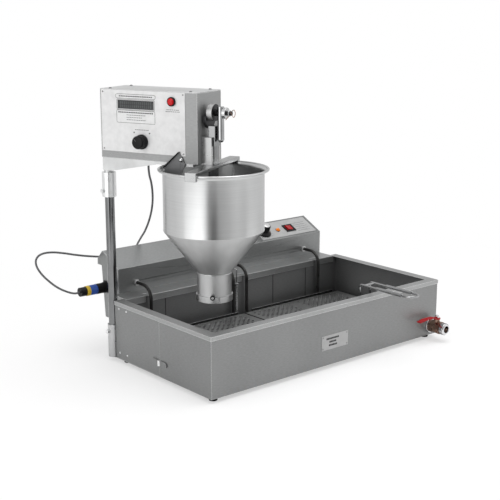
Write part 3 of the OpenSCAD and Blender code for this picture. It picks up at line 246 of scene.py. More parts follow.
def sheet_steel(name, tone, rough, turn=0.0, smear=0.05, fold_highlight=False):
    """Brushed sheet: level grain on upright faces, lengthways on level ones, and painted highlights on folds
    if asked.
    """
    material, tree, shader = new_material(name)
    source = add_node(tree, "ShaderNodeTexCoord")
    back = (0.0, 0.0, -turn)
    place = add_node(tree, "ShaderNodeMapping", {"Vector": source.outputs["Object"], "Rotation": back})
    facing = add_node(tree, "ShaderNodeMapping", {"Vector": source.outputs["Normal"], "Rotation": back})
    at = add_node(tree, "ShaderNodeSeparateXYZ", {0: place.outputs[0]}).outputs
    to = add_node(tree, "ShaderNodeSeparateXYZ", {0: facing.outputs[0]}).outputs
    ends = worked_out(tree, "COMPARE", to["X"], 0.0, steep)
    tops = worked_out(tree, "COMPARE", to["Z"], 0.0, steep)
    along = add_node(tree, "ShaderNodeMix", {"Factor": ends, 2: at["Y"], 3: at["X"]})
    across = add_node(tree, "ShaderNodeMix", {"Factor": tops, 2: at["Y"], 3: at["Z"]})
    flat = add_node(tree, "ShaderNodeCombineXYZ", {0: along.outputs[0], 1: across.outputs[0]})
    lines = grain(tree, 1.0, 4.0, flat.outputs[0], brush_grain)
    fine = grain(tree, 1.0, 2.0, flat.outputs[0], fine_grain)
    patches = grain(tree, 4.0, 3.0)
    mean = worked_out(tree, "MULTIPLY", worked_out(tree, "ADD", lines, patches), 0.5)
    colour = shaded(tree, tone, mean, 0.82, 1.18)
    if fold_highlight:
        # Painted highlight: the colour grows up to nearly twice as bright where the rounded normal turns from
        # the face.
        fold = add_node(tree, "ShaderNodeBevel", {"Radius": fold_radius}, samples=6)
        straight = add_node(tree, "ShaderNodeNewGeometry").outputs["True Normal"]
        flatness = reach_along(tree, fold.outputs[0], straight)
        colour = scaled(tree, colour, spread(tree, flatness, 0.9, 0.99, fold_highlight_gain, 1.0))
    set_inputs(shader, {
        "Base Color": colour,
        "Roughness": between(tree, patches, rough - smear, rough + smear),
        "Normal": raised(tree, fine, 0.12, 0.0001),
        "Metallic": 1.0,
    })
    return material


def finish_node(name, material, edge=0.0006, segments=2, joined=False):
    """Gives a node of the frame its finish, smooth round faces and slightly rounded edges."""
    node = nodes[name]
    node.data.materials.clear()
    node.data.materials.append(material)
    for face in node.data.polygons:
        face.use_smooth = True
        face.material_index = 0
    weld = node.modifiers.new("weld", "WELD")
    weld.merge_threshold = weld_gap
    if joined:
        join = node.modifiers.new("join", "DECIMATE")
        join.decimate_type = "DISSOLVE"
        join.angle_limit = flat_join
    bevel = node.modifiers.new("edges", "BEVEL")
    bevel.width = edge
    bevel.segments = segments
    bevel.limit_method = "ANGLE"
    bevel.angle_limit = sharp_edge
    flat = node.modifiers.new("flats", "WEIGHTED_NORMAL")
    flat.weight = 100
    flat.keep_sharp = True


# The casing's folds carry a painted highlight.
casing_finish = sheet_steel("casing_brushed", casing_tone, 0.48, fold_highlight=True)
finish_node("casing_wrap", casing_finish, 0.0008, 3, joined=True)
finish_node("casing_rear", casing_finish, 0.0005)


# Rubber feet
# Four short feet of black rubber, one under each corner of the casing. They stand the tank clear of the
# table.
def moulded(name, colour, rough, texture=900.0, depth=0.0001, coat=0.0, shine=0.2):
    """Moulded plastic or rubber: one colour with faint clouding, and the fine pebble of a mould."""
    material, tree, shader = new_material(name)
    clouds = grain(tree, 35.0)
    pebble = grain(tree, texture, 2.0)
    set_inputs(shader, {
        "Base Color": shaded(tree, colour, clouds, 0.86, 1.1),
        "Roughness": between(tree, clouds, rough * 0.88, rough * 1.12),
        "Normal": raised(tree, pebble, 0.35, depth),
        "Specular IOR Level": shine,
        "Coat Weight": coat,
    })
    return material


black_rubber = moulded("black_rubber", (0.004, 0.004, 0.004), 0.8)
finish_node("feet", black_rubber, 0.001, 3)


# Oil bath
# A pan of the same sheet, hung inside the casing from the rim. It is near black towards its floor, and welds
# stand in its back wall.
bath_tone, floor_dark_tone = (0.21, 0.212, 0.212), (0.03, 0.03, 0.03)
floor_dark_h = 0.04
bath_wall = 0.0015
weld_w, weld_rise, weld_short = 0.0022, 0.0006, 0.008
WELDS = [0.17, 0.6, 0.745]
front_way, right_way, up_way = Vector((0.0, -1.0, 0.0)), Vector((1.0, 0.0, 0.0)), Vector((0.0, 0.0, 1.0))


def own_axes(tree):
    """The three coordinates of a point on the piece."""
    return add_node(tree, "ShaderNodeSeparateXYZ", {0: own_place(tree)}).outputs


def two_tone(tree, share, first, second):
    """One colour where the share is nought, and another where it is one."""
    mixed = add_node(tree, "ShaderNodeMix", {"Factor": share, 6: first, 7: second}, data_type="RGBA")
    return mixed.outputs[2]


def overlaid(material, share, tone):
    """Lays another tone over a finish, where its share is one."""
    tree = material.node_tree
    colour = tree.nodes["Principled BSDF"].inputs["Base Color"]
    tree.links.new(two_tone(tree, share, colour.links[0].from_socket, (*tone, 1.0)), colour)


def bar(name, length, width, height):
    """A small block that stands on the XY plane, longest along X."""
    shape = bmesh.new()
    bmesh.ops.create_cube(shape, size=1.0)
    bmesh.ops.scale(shape, verts=shape.verts, vec=(length, width, height))
    bmesh.ops.translate(shape, verts=shape.verts, vec=(0.0, 0.0, height / 2))
    edge = min(length, width, height) * 0.25
    bmesh.ops.bevel(shape, geom=shape.edges[:], offset=edge, segments=2, affect="EDGES", profile=0.5)
    return made_mesh(name, shape)


def repeated(name, places, shape, material):
    """Copies of one small shape, each facing out along Z and lying along X, made by Geometry Nodes."""
    points = bpy.data.meshes.new(name + "_places")
    points.from_pydata([p for p, _, _ in places], [], [])
    for label, column in (("facing", 1), ("lying", 2)):
        values = points.attributes.new(label, "FLOAT_VECTOR", "POINT")
        values.data.foreach_set("vector", [c for place in places for c in place[column]])
    carrier = new_piece(name + "_carrier", points)
    pattern = new_piece(name + "_pattern", shape)
    tree = bpy.data.node_groups.new(name, "GeometryNodeTree")
    tree.interface.new_socket("Places", in_out="INPUT", socket_type="NodeSocketGeometry")
    shape_input = tree.interface.new_socket("Shape", in_out="INPUT", socket_type="NodeSocketObject")
    tree.interface.new_socket("Copies", in_out="OUTPUT", socket_type="NodeSocketGeometry")
    start = add_node(tree, "NodeGroupInput")
    facing = add_node(tree, "GeometryNodeInputNamedAttribute", {"Name": "facing"}, data_type="FLOAT_VECTOR")
    lying = add_node(tree, "GeometryNodeInputNamedAttribute", {"Name": "lying"}, data_type="FLOAT_VECTOR")
    turned = add_node(
        tree,
        "FunctionNodeAxesToRotation",
        {0: facing.outputs["Attribute"], 1: lying.outputs["Attribute"]},
        primary_axis="Z",
        secondary_axis="X",
    )
    dots = add_node(tree, "GeometryNodeMeshToPoints", {"Mesh": start.outputs["Places"]})
    source = add_node(tree, "GeometryNodeObjectInfo", {"Object": start.outputs["Shape"]})
    copies = add_node(
        tree,
        "GeometryNodeInstanceOnPoints",
        {"Points": dots.outputs[0], "Instance": source.outputs["Geometry"], "Rotation": turned.outputs[0]},
    )
    real = add_node(tree, "GeometryNodeRealizeInstances", {"Geometry": copies.outputs[0]})
    painted = add_node(tree, "GeometryNodeSetMaterial", {"Geometry": real.outputs[0], "Material": material})
    add_node(tree, "NodeGroupOutput", {"Copies": painted.outputs[0]})
    modifier = carrier.modifiers.new("copies", "NODES")
    modifier.node_group = tree
    modifier[shape_input.identifier] = pattern
    seen_by = bpy.context.evaluated_depsgraph_get()
    mesh = bpy.data.meshes.new_from_object(carrier.evaluated_get(seen_by))
    for spare in (carrier, pattern):
        bpy.data.objects.remove(spare)
    return new_piece(name, mesh)


tank_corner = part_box("casing_wrap")[0]
bath_low, bath_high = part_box("bath")
bath_steel = sheet_steel("bath_brushed", bath_tone, 0.62, smear=0.09)
# Near black over the lowest four centimetres of the pan, fading upwards.
bath_rise = own_axes(bath_steel.node_tree)["Z"]
bath_floor_darkening = spread(bath_steel.node_tree, bath_rise, bath_low.z, bath_low.z + floor_dark_h, 1.0, 0.0)
overlaid(bath_steel, bath_floor_darkening, floor_dark_tone)
finish_node("bath", bath_steel, 0.0008, 3)
weld_y, weld_z = bath_high.y - bath_wall, (bath_low.z + bath_high.z) / 2
bath_welds = repeated(
    "bath_welds",
    [((tank_corner.x + x, weld_y, weld_z), front_way, up_way) for x in WELDS],
    bar("bath_weld", bath_high.z - bath_low.z - weld_short, weld_w, weld_rise),
    sheet_steel("weld_steel", (0.05, 0.05, 0.05), 0.5),
)
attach(bath_welds, "tank")


# Rim
# A flat frame of paler sheet round the top of the bath, folded down over the casing. Its folds carry a
# painted highlight.
rim_tone = (0.38, 0.383, 0.383)
finish_node("rim_frame", sheet_steel("rim_brushed", rim_tone, 0.42, fold_highlight=True), 0.0007, 3)


# Seam clip
# Two straps of the casing's sheet with a knuckle between them, painted near white as a highlight. The clip
# closes the seam in the left end of the casing.
def polished(name, tone, rough, smear=0.06, scratch=0.06):
    """Bright bare metal with faint smears and fine scratches."""
    material, tree, shader = new_material(name)
    smears = grain(tree, 22.0, 4.0)
    scratches = grain(tree, 700.0, 2.0, stretch=(1.0, 1.0, 0.2))
    set_inputs(shader, {
        "Base Color": shaded(tree, tone, smears, 0.9, 1.08),
        "Roughness": between(tree, smears, max(rough - smear, 0.02), rough + smear),
        "Normal": raised(tree, scratches, scratch, 0.0001),
        "Metallic": 1.0,
    })
    return material


clip_low, clip_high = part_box("seam_clip")
clip_middle = (clip_low.y + clip_high.y) / 2
knuckle_reach = 0.0045
knuckle_highlight_tone = (0.95, 0.95, 0.95)
clip_steel = polished("clip_steel", (0.27, 0.273, 0.273), 0.36)
clip_tree = clip_steel.node_tree
# Painted highlight: the knuckle in the middle of the clip is made near white, far paler than the straps.
clip_knuckle_highlight = worked_out(clip_tree, "COMPARE", own_axes(clip_tree)["Y"], clip_middle, knuckle_reach)
overlaid(clip_steel, clip_knuckle_highlight, knuckle_highlight_tone)
finish_node("seam_clip", clip_steel, 0.0008, 3)


# Rivets
# Domed aluminium heads. Four hold the sheet of the left end near the back, and one stands in each corner of
# the front plate.
rivet_steps = 6
rivet_r, rivet_h = 0.0035, 0.0018
plate_rivet_r, plate_rivet_h = 0.0024, 0.0014
plate_inset = 0.005
END_RIVETS = [(0.43, 0.032), (0.392, 0.032), (0.43, 0.165), (0.392, 0.165)]


def tank_point(x, y, z):
    """A point measured from the front left corner of the casing, and up from the floor."""
    return Vector((tank_corner.x + x, tank_corner.y + y, z))


def round_steps(count):
    """Angles all the way round, in so many equal steps."""
    return [math.tau * k / count for k in range(count)]


def skinned(shape, rings, sides):
    """Makes smooth walls from each ring of points to the next. A ring at a pole is one point."""
    for near, far in zip(rings, rings[1:]):
        for k in range(sides):
            n = (k + 1) % sides
            corners = [near[k % len(near)], near[n % len(near)], far[n % len(far)], far[k % len(far)]]
            shape.faces.new(list(dict.fromkeys(corners))).smooth = True


def dome(name, radius, height, sides=20):
    """A domed head that stands on the XY plane."""
    shape = bmesh.new()
    rings = []
    for step in range(rivet_steps):
        a = math.pi / 2 * step / rivet_steps
        r, z = radius * math.cos(a), height * math.sin(a)
        rings.append([shape.verts.new((r * math.cos(t), r * math.sin(t), z)) for t in round_steps(sides)])
    rings.append([shape.verts.new((0.0, 0.0, height))])
    skinned(shape, rings, sides)
    return made_mesh(name, shape)


bright_steel = polished("bright_steel", (0.66, 0.665, 0.67), 0.2)
plate_low, plate_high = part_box("front_plate")
end_rivets = repeated(
    "end_rivets",
    [(tank_point(0.0, y, z), -right_way, up_way) for y, z in END_RIVETS],
    dome("end_rivet", rivet_r, rivet_h),
    bright_steel,
)
plate_rivets = repeated(
    "plate_rivets",
    [
        ((x, plate_low.y, z), front_way, right_way)
        for x in (plate_low.x + plate_inset, plate_high.x - plate_inset)
        for z in (plate_low.z + plate_inset, plate_high.z - plate_inset)
    ],
    dome("plate_rivet", plate_rivet_r, plate_rivet_h),
    polished("rivet_dull", (0.3, 0.3, 0.3), 0.35),
)
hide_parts("casing_rivets")
for rivets in (end_rivets, plate_rivets):
    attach(rivets, "tank")


# Front plate
# A pale anodised plate, riveted to the front of the casing at its corners. It carries three rows of plain
# dashes.
ink_t = 0.00012
dash_l, dash_w, dash_step = 0.0047, 0.0052, 0.0056
print_gap = 0.00002
PLATE_ROWS = [(0.0325, 9, 0.02), (0.0225, 5, 0.032), (0.0125, 6, 0.03)]


def printed_plate(name, tone, rough=0.42):
    """Pale painted metal with very faint blotches."""
    material, tree, shader = new_material(name)
    blotches = grain(tree, 60.0, 4.0)
    set_inputs(shader, {
        "Base Color": shaded(tree, tone, blotches, 0.93, 1.05),
        "Roughness": between(tree, blotches, rough - 0.06, rough + 0.06),
        "Metallic": 0.15,
    })
    return material


print_ink = moulded("print_ink", (0.025, 0.025, 0.026), 0.6)
finish_node("front_plate", printed_plate("front_plate_print", (0.42, 0.42, 0.42)), 0.0002)
plate_dashes = repeated(
    "plate_dashes",
    [
        (plate_low + Vector((start + k * dash_step, -print_gap, up)), front_way, right_way)
        for up, count, start in PLATE_ROWS
        for k in range(count)
    ],
    bar("plate_dash", dash_l, dash_w, ink_t),
    print_ink,
)
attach(plate_dashes, "tank")


# Drain valve
# A ball valve screwed to the front of the tank, near its right end: brown cast brass between a chrome flange
# and a knurled chrome outlet, with a lever dipped in red.
knurl_count = 36
knurl_l, knurl_w, knurl_h = 0.011, 0.0016, 0.0007


def frame_at(point, out, up):
    """A frame at a point, with Z facing out and Y up."""
    z = Vector(out).normalized()
    x = Vector(up).cross(z).normalized()
    turned = Matrix((x, z.cross(x), z)).transposed().to_4x4()
    return Matrix.Translation(point) @ turned


def ring_places(count, place, radius, height=0.0):
    """Places round the axis of a frame, facing outwards and lying along the axis."""
    turned = place.to_3x3()
    middle = place @ Vector((0.0, 0.0, height))
    ways = [turned @ Vector((math.cos(a), math.sin(a), 0.0)) for a in round_steps(count)]
    return [(middle + way * radius, way, turned.col[2]) for way in ways]


valve_chrome = polished("valve_chrome", (0.7, 0.7, 0.71), 0.12)
valve_brass = polished("valve_brass", (0.29, 0.19, 0.145), 0.26, 0.1, 0.3)
lever_paint = moulded("lever_paint", (0.36, 0.004, 0.008), 0.42, coat=0.05)
finish_node("drain_nipple", valve_chrome, 0.001, 3)
finish_node("valve_body", valve_brass, 0.0012, 3)
finish_node("outlet_fitting", valve_chrome, 0.0007, 3)
finish_node("valve_ball", valve_chrome, 0.0004)
finish_node("valve_stem", valve_chrome, 0.0008, 3)
finish_node("valve_lever", lever_paint, 0.0013, 4)
outlet_low, outlet_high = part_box("outlet_fitting")
outlet_axis = (outlet_low + outlet_high) / 2
outlet_r = (outlet_high.x - outlet_low.x) / 2
outlet_grip = repeated(
    "outlet_grip",
    ring_places(knurl_count, frame_at(outlet_axis, front_way, up_way), outlet_r),
    bar("outlet_rib", knurl_l, knurl_w, knurl_h),
    valve_chrome,
)
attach(outlet_grip, "tank")


# Post
# A pipe in a welded pipe socket at the back left corner of the tank. A turned aluminium collar on it carries
# the head's stub, and set screws hold both ends of the pipe.
pipe_steel = polished("pipe_steel", (0.22, 0.223, 0.226), 0.12, 0.03, 0.08)
collar_alloy = polished("collar_alloy", (0.84, 0.845, 0.845), 0.3, 0.06, 0.1)
finish_node("post_socket", polished("socket_steel", (0.52, 0.523, 0.526), 0.3, 0.05, 0.1), 0.001, 3)
finish_node("post_tube", pipe_steel, 0.0006)
finish_node("swivel_collar", collar_alloy, 0.0012, 3)
finish_node("set_screws", collar_alloy, 0.0008, 3)


# Control box
# A folded steel box hung on the back of the tank, closed by two end plates. It has a ledge over the rim and a
# sloping panel.
# The box and the ledge carry a painted highlight on their folds.
box_finish = sheet_steel("box_brushed", (0.27, 0.275, 0.275), 0.4, fold_highlight=True)
finish_node("control_box", box_finish, 0.0008, 3)
finish_node("control_ends", box_finish, 0.0004)
finish_node("splash_ledge", sheet_steel("ledge_brushed", (0.44, 0.445, 0.445), 0.38, fold_highlight=True), 0.0006, 3)


# Control plate
# A pale metal plate fixed flat on the slope. A ring of plain ticks goes round the thermostat knob, and rows
# of dashes fill its right end.
slope = math.radians(27.0)
slope_foot = tank_point(0.0, 0.5, 0.261)
slope_up = Vector((0.0, math.cos(slope), math.sin(slope)))
slope_out = Vector((0.0, -math.sin(slope), math.cos(slope)))
panel_t = 0.001
control_up = 0.042
dial_x, lamp_x = 0.647, 0.711
tick_r, tick_l, tick_w = 0.0315, 0.0045, 0.0011
tick_count = 11
tick_from, tick_sweep = -45.0, 270.0
panel_dash_l, panel_dash_w, panel_dash_step = 0.0042, 0.0012, 0.006
panel_margin = 0.01
PANEL_ROWS = (-0.02, -0.01, 0.0, 0.01, 0.02)


def panel_point(x, up, out=0.0):
    """A point on the sloping panel: along the tank, up the slope and out of it."""
    return slope_foot + Vector((x, 0.0, 0.0)) + slope_up * up + slope_out * out


def turned_way(a):
    """A direction in the sloping panel, turned from the tank's length."""
    return right_way * math.cos(a) + slope_up * math.sin(a)


finish_node("control_plate", printed_plate("control_plate_print", (0.4, 0.403, 0.403)), 0.0002)
dial_middle = panel_point(dial_x, control_up, panel_t)
TICKS = [turned_way(math.radians(tick_from + tick_sweep * k / (tick_count - 1))) for k in range(tick_count)]
dial_ticks = repeated(
    "dial_ticks",
    [(dial_middle + way * tick_r, slope_out, way) for way in TICKS],
    bar("dial_tick", tick_l, tick_w, ink_t),
    print_ink,
)
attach(dial_ticks, "tank")
panel_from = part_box("rocker_housing")[1].x + panel_margin - slope_foot.x
panel_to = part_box("control_plate")[1].x - panel_margin - slope_foot.x
panel_dashes = repeated(
    "panel_dashes",
    [
        (panel_point(panel_from + k * panel_dash_step, control_up + row, panel_t), slope_out, right_way)
        for row in PANEL_ROWS
        for k in range(int((panel_to - panel_from) / panel_dash_step))
    ],
    bar("panel_dash", panel_dash_l, panel_dash_w, ink_t),
    print_ink,
)
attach(panel_dashes, "tank")


# Thermostat
# A black flared knob of moulded plastic with a pale metal cap and a white pointer line. It is pressed on the
# shaft of the thermostat under the panel.
dial_gap, dial_h, cap_rise = 0.0003, 0.032, 0.0004
grip_r, grip_z = 0.0152, 0.0225
grip_count = 28
grip_l, grip_w, grip_h = 0.0115, 0.0017, 0.001
pointer_l, pointer_w, pointer_h = 0.009, 0.0014, 0.0004


def lathe(name, profile, place, material, sides=96, closed=False):
    """A turned body: an outline of radius and height, put where its frame says."""
    shape = bmesh.new()
    rings = []
    for radius, height in profile:
        if radius == 0.0:
            rings.append([shape.verts.new(place @ Vector((0.0, 0.0, height)))])
        else:
            rings.append([
                shape.verts.new(place @ Vector((radius * math.cos(a), radius * math.sin(a), height)))
                for a in round_steps(sides)
            ])
    skinned(shape, rings + rings[:1] if closed else rings, sides)
    bmesh.ops.recalc_face_normals(shape, faces=shape.faces)
    mesh = made_mesh(name, shape)
    mesh.set_sharp_from_angle(angle=sharp_edge)
    return new_piece(name, mesh, material)


black_plastic = moulded("black_plastic", (0.006, 0.006, 0.0065), 0.36)
pale_cap = polished("pale_cap", (0.82, 0.82, 0.82), 0.3)
dial_frame = frame_at(panel_point(dial_x, control_up, panel_t + dial_gap), slope_out, slope_up)
DIAL = [
    (0.0, 0.0), (0.026, 0.0), (0.026, 0.0025), (0.0252, 0.0042), (0.0222, 0.0064), (0.0185, 0.0092),
    (0.0165, 0.0125), (0.0158, 0.016), (0.0155, 0.0285), (0.0146, 0.0306), (0.0128, 0.0316), (0.0, 0.0316),
]
dial = lathe("thermostat_dial", DIAL, dial_frame, black_plastic)
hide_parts("thermostat_knob")
cap_h = dial_h + cap_rise
CAP = [(0.0, 0.0316), (0.0124, 0.0316), (0.0124, dial_h), (0.0115, cap_h), (0.0, cap_h)]
dial_cap = lathe("dial_cap", CAP, dial_frame, pale_cap)
dial_flutes = repeated(
    "dial_flutes",
    ring_places(grip_count, dial_frame, grip_r, grip_z),
    bar("dial_flute", grip_l, grip_w, grip_h),
    black_plastic,
)
pointer_place = dial_frame @ Vector((0.0, 0.0205, 0.0072))
pointer_out = dial_frame.to_3x3() @ Vector((0.0, 0.55, 0.84))
dial_pointer = repeated(
    "dial_pointer",
    [(pointer_place, pointer_out, slope_up)],
    bar("pointer_line", pointer_l, pointer_w, pointer_h),
    moulded("pointer_white", (0.8, 0.8, 0.8), 0.4),
)
for piece in (dial, dial_cap, dial_flutes, dial_pointer):
    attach(piece, "thermostat_dial")
finish_node("thermostat_body", black_plastic)


# Pilot lamp
# An amber plastic lens, lit a little from behind, that shows when the heaters are on. A dark metal ring
# holds it in the plate.
def glowing(name, colour, rough, glow):
    """Coloured translucent plastic that is lit a little from inside."""
    material, tree, shader = new_material(name)
    set_inputs(shader, {
        "Base Color": shaded(tree, colour, grain(tree, 90.0), 0.85, 1.12),
        "Roughness": rough,
        "Specular IOR Level": 0.2,
        "Coat Weight": 0.1,
        "Emission Color": (*colour, 1.0),
        "Emission Strength": glow,
    })
    return material


finish_node("pilot_lamp", glowing("lamp_amber", (0.78, 0.2, 0.015), 0.2, 0.12), 0.001, 3)
screw_black = polished("screw_black", (0.06, 0.06, 0.062), 0.4)
LAMP_RING = [(0.0062, 0.0), (0.0086, 0.0), (0.0086, 0.0009), (0.0078, 0.0016), (0.0062, 0.0016)]
lamp_frame = frame_at(panel_point(lamp_x, control_up, panel_t), slope_out, slope_up)
lamp_ring = lathe("lamp_ring", LAMP_RING, lamp_frame, screw_black, closed=True)
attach(lamp_ring, "tank")


# Rocker switch
# The mains switch: a lit red rocker of clear plastic. It tilts in a black housing that snaps into the
# plate.
finish_node("rocker_housing", black_plastic, 0.0006, 3)
finish_node("rocker_button", glowing("rocker_red", (0.34, 0.002, 0.004), 0.3, 0.06), 0.0008, 3)


# Heaters
# Two tube heaters, burnt black, that come over the ledge and dip into the bath. Bright bushings hold them in
# the box, and the thermostat's bulb lies beside them.
heater_black, heater_tree, heater_shader = new_material("heater_black")
heater_bloom = grain(heater_tree, 40.0, 5.0)
set_inputs(heater_shader, {
    "Base Color": shaded(heater_tree, (0.018, 0.0175, 0.017), heater_bloom, 0.6, 1.6),
    "Roughness": between(heater_tree, heater_bloom, 0.26, 0.42),
    "Metallic": 0.4,
})
finish_node("left_heater", heater_black)
finish_node("right_heater", heater_black)
finish_node("heater_bushings", pale_cap, 0.0009, 3)
finish_node("thermostat_bulb", bright_steel, 0.0006, 3)


# Connector
# A black moulded socket on the left end of the box, and the cord's plug with its ribbed yellow and blue
# rings.
ring_yellow, ring_blue = (0.62, 0.42, 0.02, 1.0), (0.012, 0.07, 0.36, 1.0)
rib_count = 30.0
finish_node("connector_socket", black_plastic, 0.0009, 3)
finish_node("plug_shell", black_plastic, 0.0012, 3)
ring_plastic, ring_tree, ring_shader = new_material("plug_ring_plastic")
ring_low, ring_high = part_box("plug_rings")
plug_axis = (ring_low + ring_high) / 2
ring_change = ring_low.x + (ring_high.x - ring_low.x) / 3
ring_place = own_axes(ring_tree)
ring_side = worked_out(ring_tree, "GREATER_THAN", ring_place["X"], ring_change)
rib_y = worked_out(ring_tree, "SUBTRACT", ring_place["Y"], plug_axis.y)
rib_z = worked_out(ring_tree, "SUBTRACT", ring_place["Z"], plug_axis.z)
rib_turns = worked_out(ring_tree, "MULTIPLY", worked_out(ring_tree, "ARCTAN2", rib_z, rib_y), rib_count)
rib_wave = worked_out(ring_tree, "SINE", rib_turns)
set_inputs(ring_shader, {
    "Base Color": two_tone(ring_tree, ring_side, ring_yellow, ring_blue),
    "Roughness": between(ring_tree, grain(ring_tree, 50.0), 0.34, 0.46),
    "Normal": raised(ring_tree, rib_wave, 0.6, 0.0006),
})
finish_node("plug_rings", ring_plastic, 0.001, 3)


# Control cord
# A grey rubber-sheathed cable. It leaves the gland under the head, hangs in one loose loop behind the
# post and goes into the plug on the end of the control box. The route is measured from the casing's corner.
cord_d = 0.006
cord_sides = 14
cord_steps = 8
CORD_ROUTE = [
    (0.082, 0.382, 0.586), (0.082, 0.382, 0.570), (0.088, 0.387, 0.550), (0.099, 0.395, 0.528),
    (0.112, 0.409, 0.501), (0.125, 0.427, 0.473), (0.137, 0.448, 0.445), (0.149, 0.474, 0.415),
    (0.162, 0.506, 0.384), (0.176, 0.545, 0.351), (0.189, 0.584, 0.324), (0.200, 0.618, 0.299),
    (0.205, 0.642, 0.278), (0.195, 0.658, 0.262), (0.170, 0.660, 0.256), (0.135, 0.651, 0.259),
    (0.095, 0.638, 0.267), (0.050, 0.624, 0.277), (0.005, 0.614, 0.288), (-0.035, 0.607, 0.299),
    (-0.072, 0.602, 0.310), (-0.108, 0.598, 0.319), (-0.138, 0.596, 0.322), (-0.160, 0.594, 0.318),
    (-0.172, 0.591, 0.306), (-0.172, 0.587, 0.288), (-0.161, 0.582, 0.266), (-0.142, 0.576, 0.243),
    (-0.118, 0.570, 0.221), (-0.092, 0.564, 0.205), (-0.068, 0.560, 0.196), (-0.050, 0.560, 0.196),
]


def smooth_path(points, steps):
    """A smooth curve through the points, with so many steps from one to the next."""
    path = []
    for i in range(len(points) - 1):
        a, b = points[max(i - 1, 0)], points[i]
        c, d = points[i + 1], points[min(i + 2, len(points) - 1)]
        for k in range(steps):
            t = k / steps
            bend = (a - b * 2.5 + c * 2 - d / 2) * t**2 + (b * 3 - a - c * 3 + d) * (t**3 / 2)
            path.append(b + (c - a) * (t / 2) + bend)
    return path + [points[-1]]


def tube_piece(name, path, radius, sides, material):
    """A round tube along a path, closed at both ends, with smooth walls."""
    shape = bmesh.new()
    rings = []
    side = (path[1] - path[0]).orthogonal()
    for i, point in enumerate(path):
        along = (path[min(i + 1, len(path) - 1)] - path[max(i - 1, 0)]).normalized()
        side = (side - along * along.dot(side)).normalized()
        up = along.cross(side)
        rings.append([
            shape.verts.new(point + (side * math.cos(a) + up * math.sin(a)) * radius)
            for a in round_steps(sides)
        ])
    skinned(shape, rings, sides)
    shape.faces.new(reversed(rings[0]))
    shape.faces.new(rings[-1])
    return new_piece(name, made_mesh(name, shape), material)


cord_path = smooth_path([tank_point(*p) for p in CORD_ROUTE], cord_steps)
cord_rubber = moulded("cord_rubber", (0.11, 0.11, 0.115), 0.45, shine=0.5)
cord = tube_piece("hanging_cord", cord_path, cord_d / 2, cord_sides, cord_rubber)
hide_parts("control_cord")
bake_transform(cord)


# Grids
# Two punched steel plates that lie over the heaters, each with a plain band across it and an upturned edge at
# the back. The walls of the holes and the other upright faces are painted near black as shade. The right one
# has a wire handle.
hole_wall_shade = (0.02, 0.02, 0.02)
grid_finish = sheet_steel("grid_steel", (0.52, 0.523, 0.523), 0.36)
grid_tree = grid_finish.node_tree
grid_facing = add_node(grid_tree, "ShaderNodeNewGeometry").outputs["True Normal"]
grid_rise = add_node(grid_tree, "ShaderNodeSeparateXYZ", {0: grid_facing}).outputs["Z"]
grid_level = worked_out(grid_tree, "ABSOLUTE", grid_rise)
# Painted shade: every upright face, the walls of the holes among them, is laid over with near black.
overlaid(grid_finish, spread(grid_tree, grid_level, 0.3, 0.7, 1.0, 0.0), hole_wall_shade)
finish_node("left_grid", grid_finish, 0.0003, 1)
finish_node("right_grid", grid_finish, 0.0003, 1)
finish_node("grid_handle", polished("handle_wire", (0.36, 0.363, 0.366), 0.12), 0.0004)


# Head case
# A box of brushed sheet that stands turned on the post, with a paler lid. Four dark domed screws hold the lid
# down.
head_turn = math.radians(21.0)
head_end, head_near, head_back = -0.3055, 0.0105, 0.109
label_x, label_t = -0.017, 0.001
lid_screw_in, lid_screw_side = 0.012, 0.027
lid_screw_r, lid_screw_h = 0.0045, 0.0028
post_low, post_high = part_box("post_tube")
post_axis = (post_low + post_high) / 2
head_frame = Matrix.Translation((post_axis.x, post_axis.y, 0.0)) @ Matrix.Rotation(head_turn, 4, "Z")
head_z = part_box("head_case")[0].z
head_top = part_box("head_lid")[1].z


def head_point(x, y, z):
    """A point in the head's own frame: back from the post axis, along the head, and up from the floor."""
    return head_frame @ Vector((x, y, z))


def head_way(x, y, z):
    """A direction in the head's own frame."""
    return head_frame.to_3x3() @ Vector((x, y, z))


# The head case's folds carry a painted highlight.
head_finish = sheet_steel("head_brushed", (0.37, 0.373, 0.373), 0.58, head_turn, fold_highlight=True)
finish_node("head_case", head_finish, 0.001, 3)
finish_node("head_lid", sheet_steel("lid_brushed", (0.7, 0.705, 0.705), 0.32, head_turn), 0.0006, 3)
lid_screws = repeated(
    "lid_screws",
    [
        (head_point(x, y, head_top), up_way, head_way(1.0, 0.0, 0.0))
        for x in (label_x + label_t + lid_screw_in, head_back - lid_screw_in)
        for y in (head_end + lid_screw_side, head_near - lid_screw_side)
    ],
    dome("lid_screw", lid_screw_r, lid_screw_h),
    polished("screw_dark", (0.16, 0.16, 0.165), 0.3),
)
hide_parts("head_screws")
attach(lid_screws, "head")


# Front label
# A pale metal plate screwed over the front of the head at its corners. It carries plain outlines: a rounded
# frame over the window, a box of dashes under it, and two dots by the knob.
label_low_z, label_high_z = head_z + 0.020, head_top - 0.002
label_y0, label_y1 = head_end + 0.038, 0.0065
label_screw_in, label_screw_r, label_screw_h = 0.006, 0.0025, 0.0013
label_face = label_x - 0.00004
outline_r, outline_sides, corner_steps = 0.00045, 6, 8
dot_r, dot_h, dot_side, dot_up = 0.0021, 0.0002, 0.0255, 0.0245
dash_pitch = 0.0058
bold_l, bold_w = 0.0042, 0.003
fine_l, fine_w = 0.0038, 0.0016
knob_y, knob_z = head_end + 0.178, head_z + 0.051
window_y, window_z = head_end + 0.197, head_z + 0.151


def rounded_loop(y, z, width, height, radius):
    """The path of a rounded frame on the label, closed on itself."""
    path = []
    for side_y, side_z, start in ((1, 1, 0), (-1, 1, 90), (-1, -1, 180), (1, -1, 270)):
        for step in range(corner_steps + 1):
            a = math.radians(start + 90.0 * step / corner_steps)
            path.append(head_point(
                label_face,
                y + side_y * (width / 2 - radius) + radius * math.cos(a),
                z + side_z * (height / 2 - radius) + radius * math.sin(a),
            ))
    return path + path[:1]


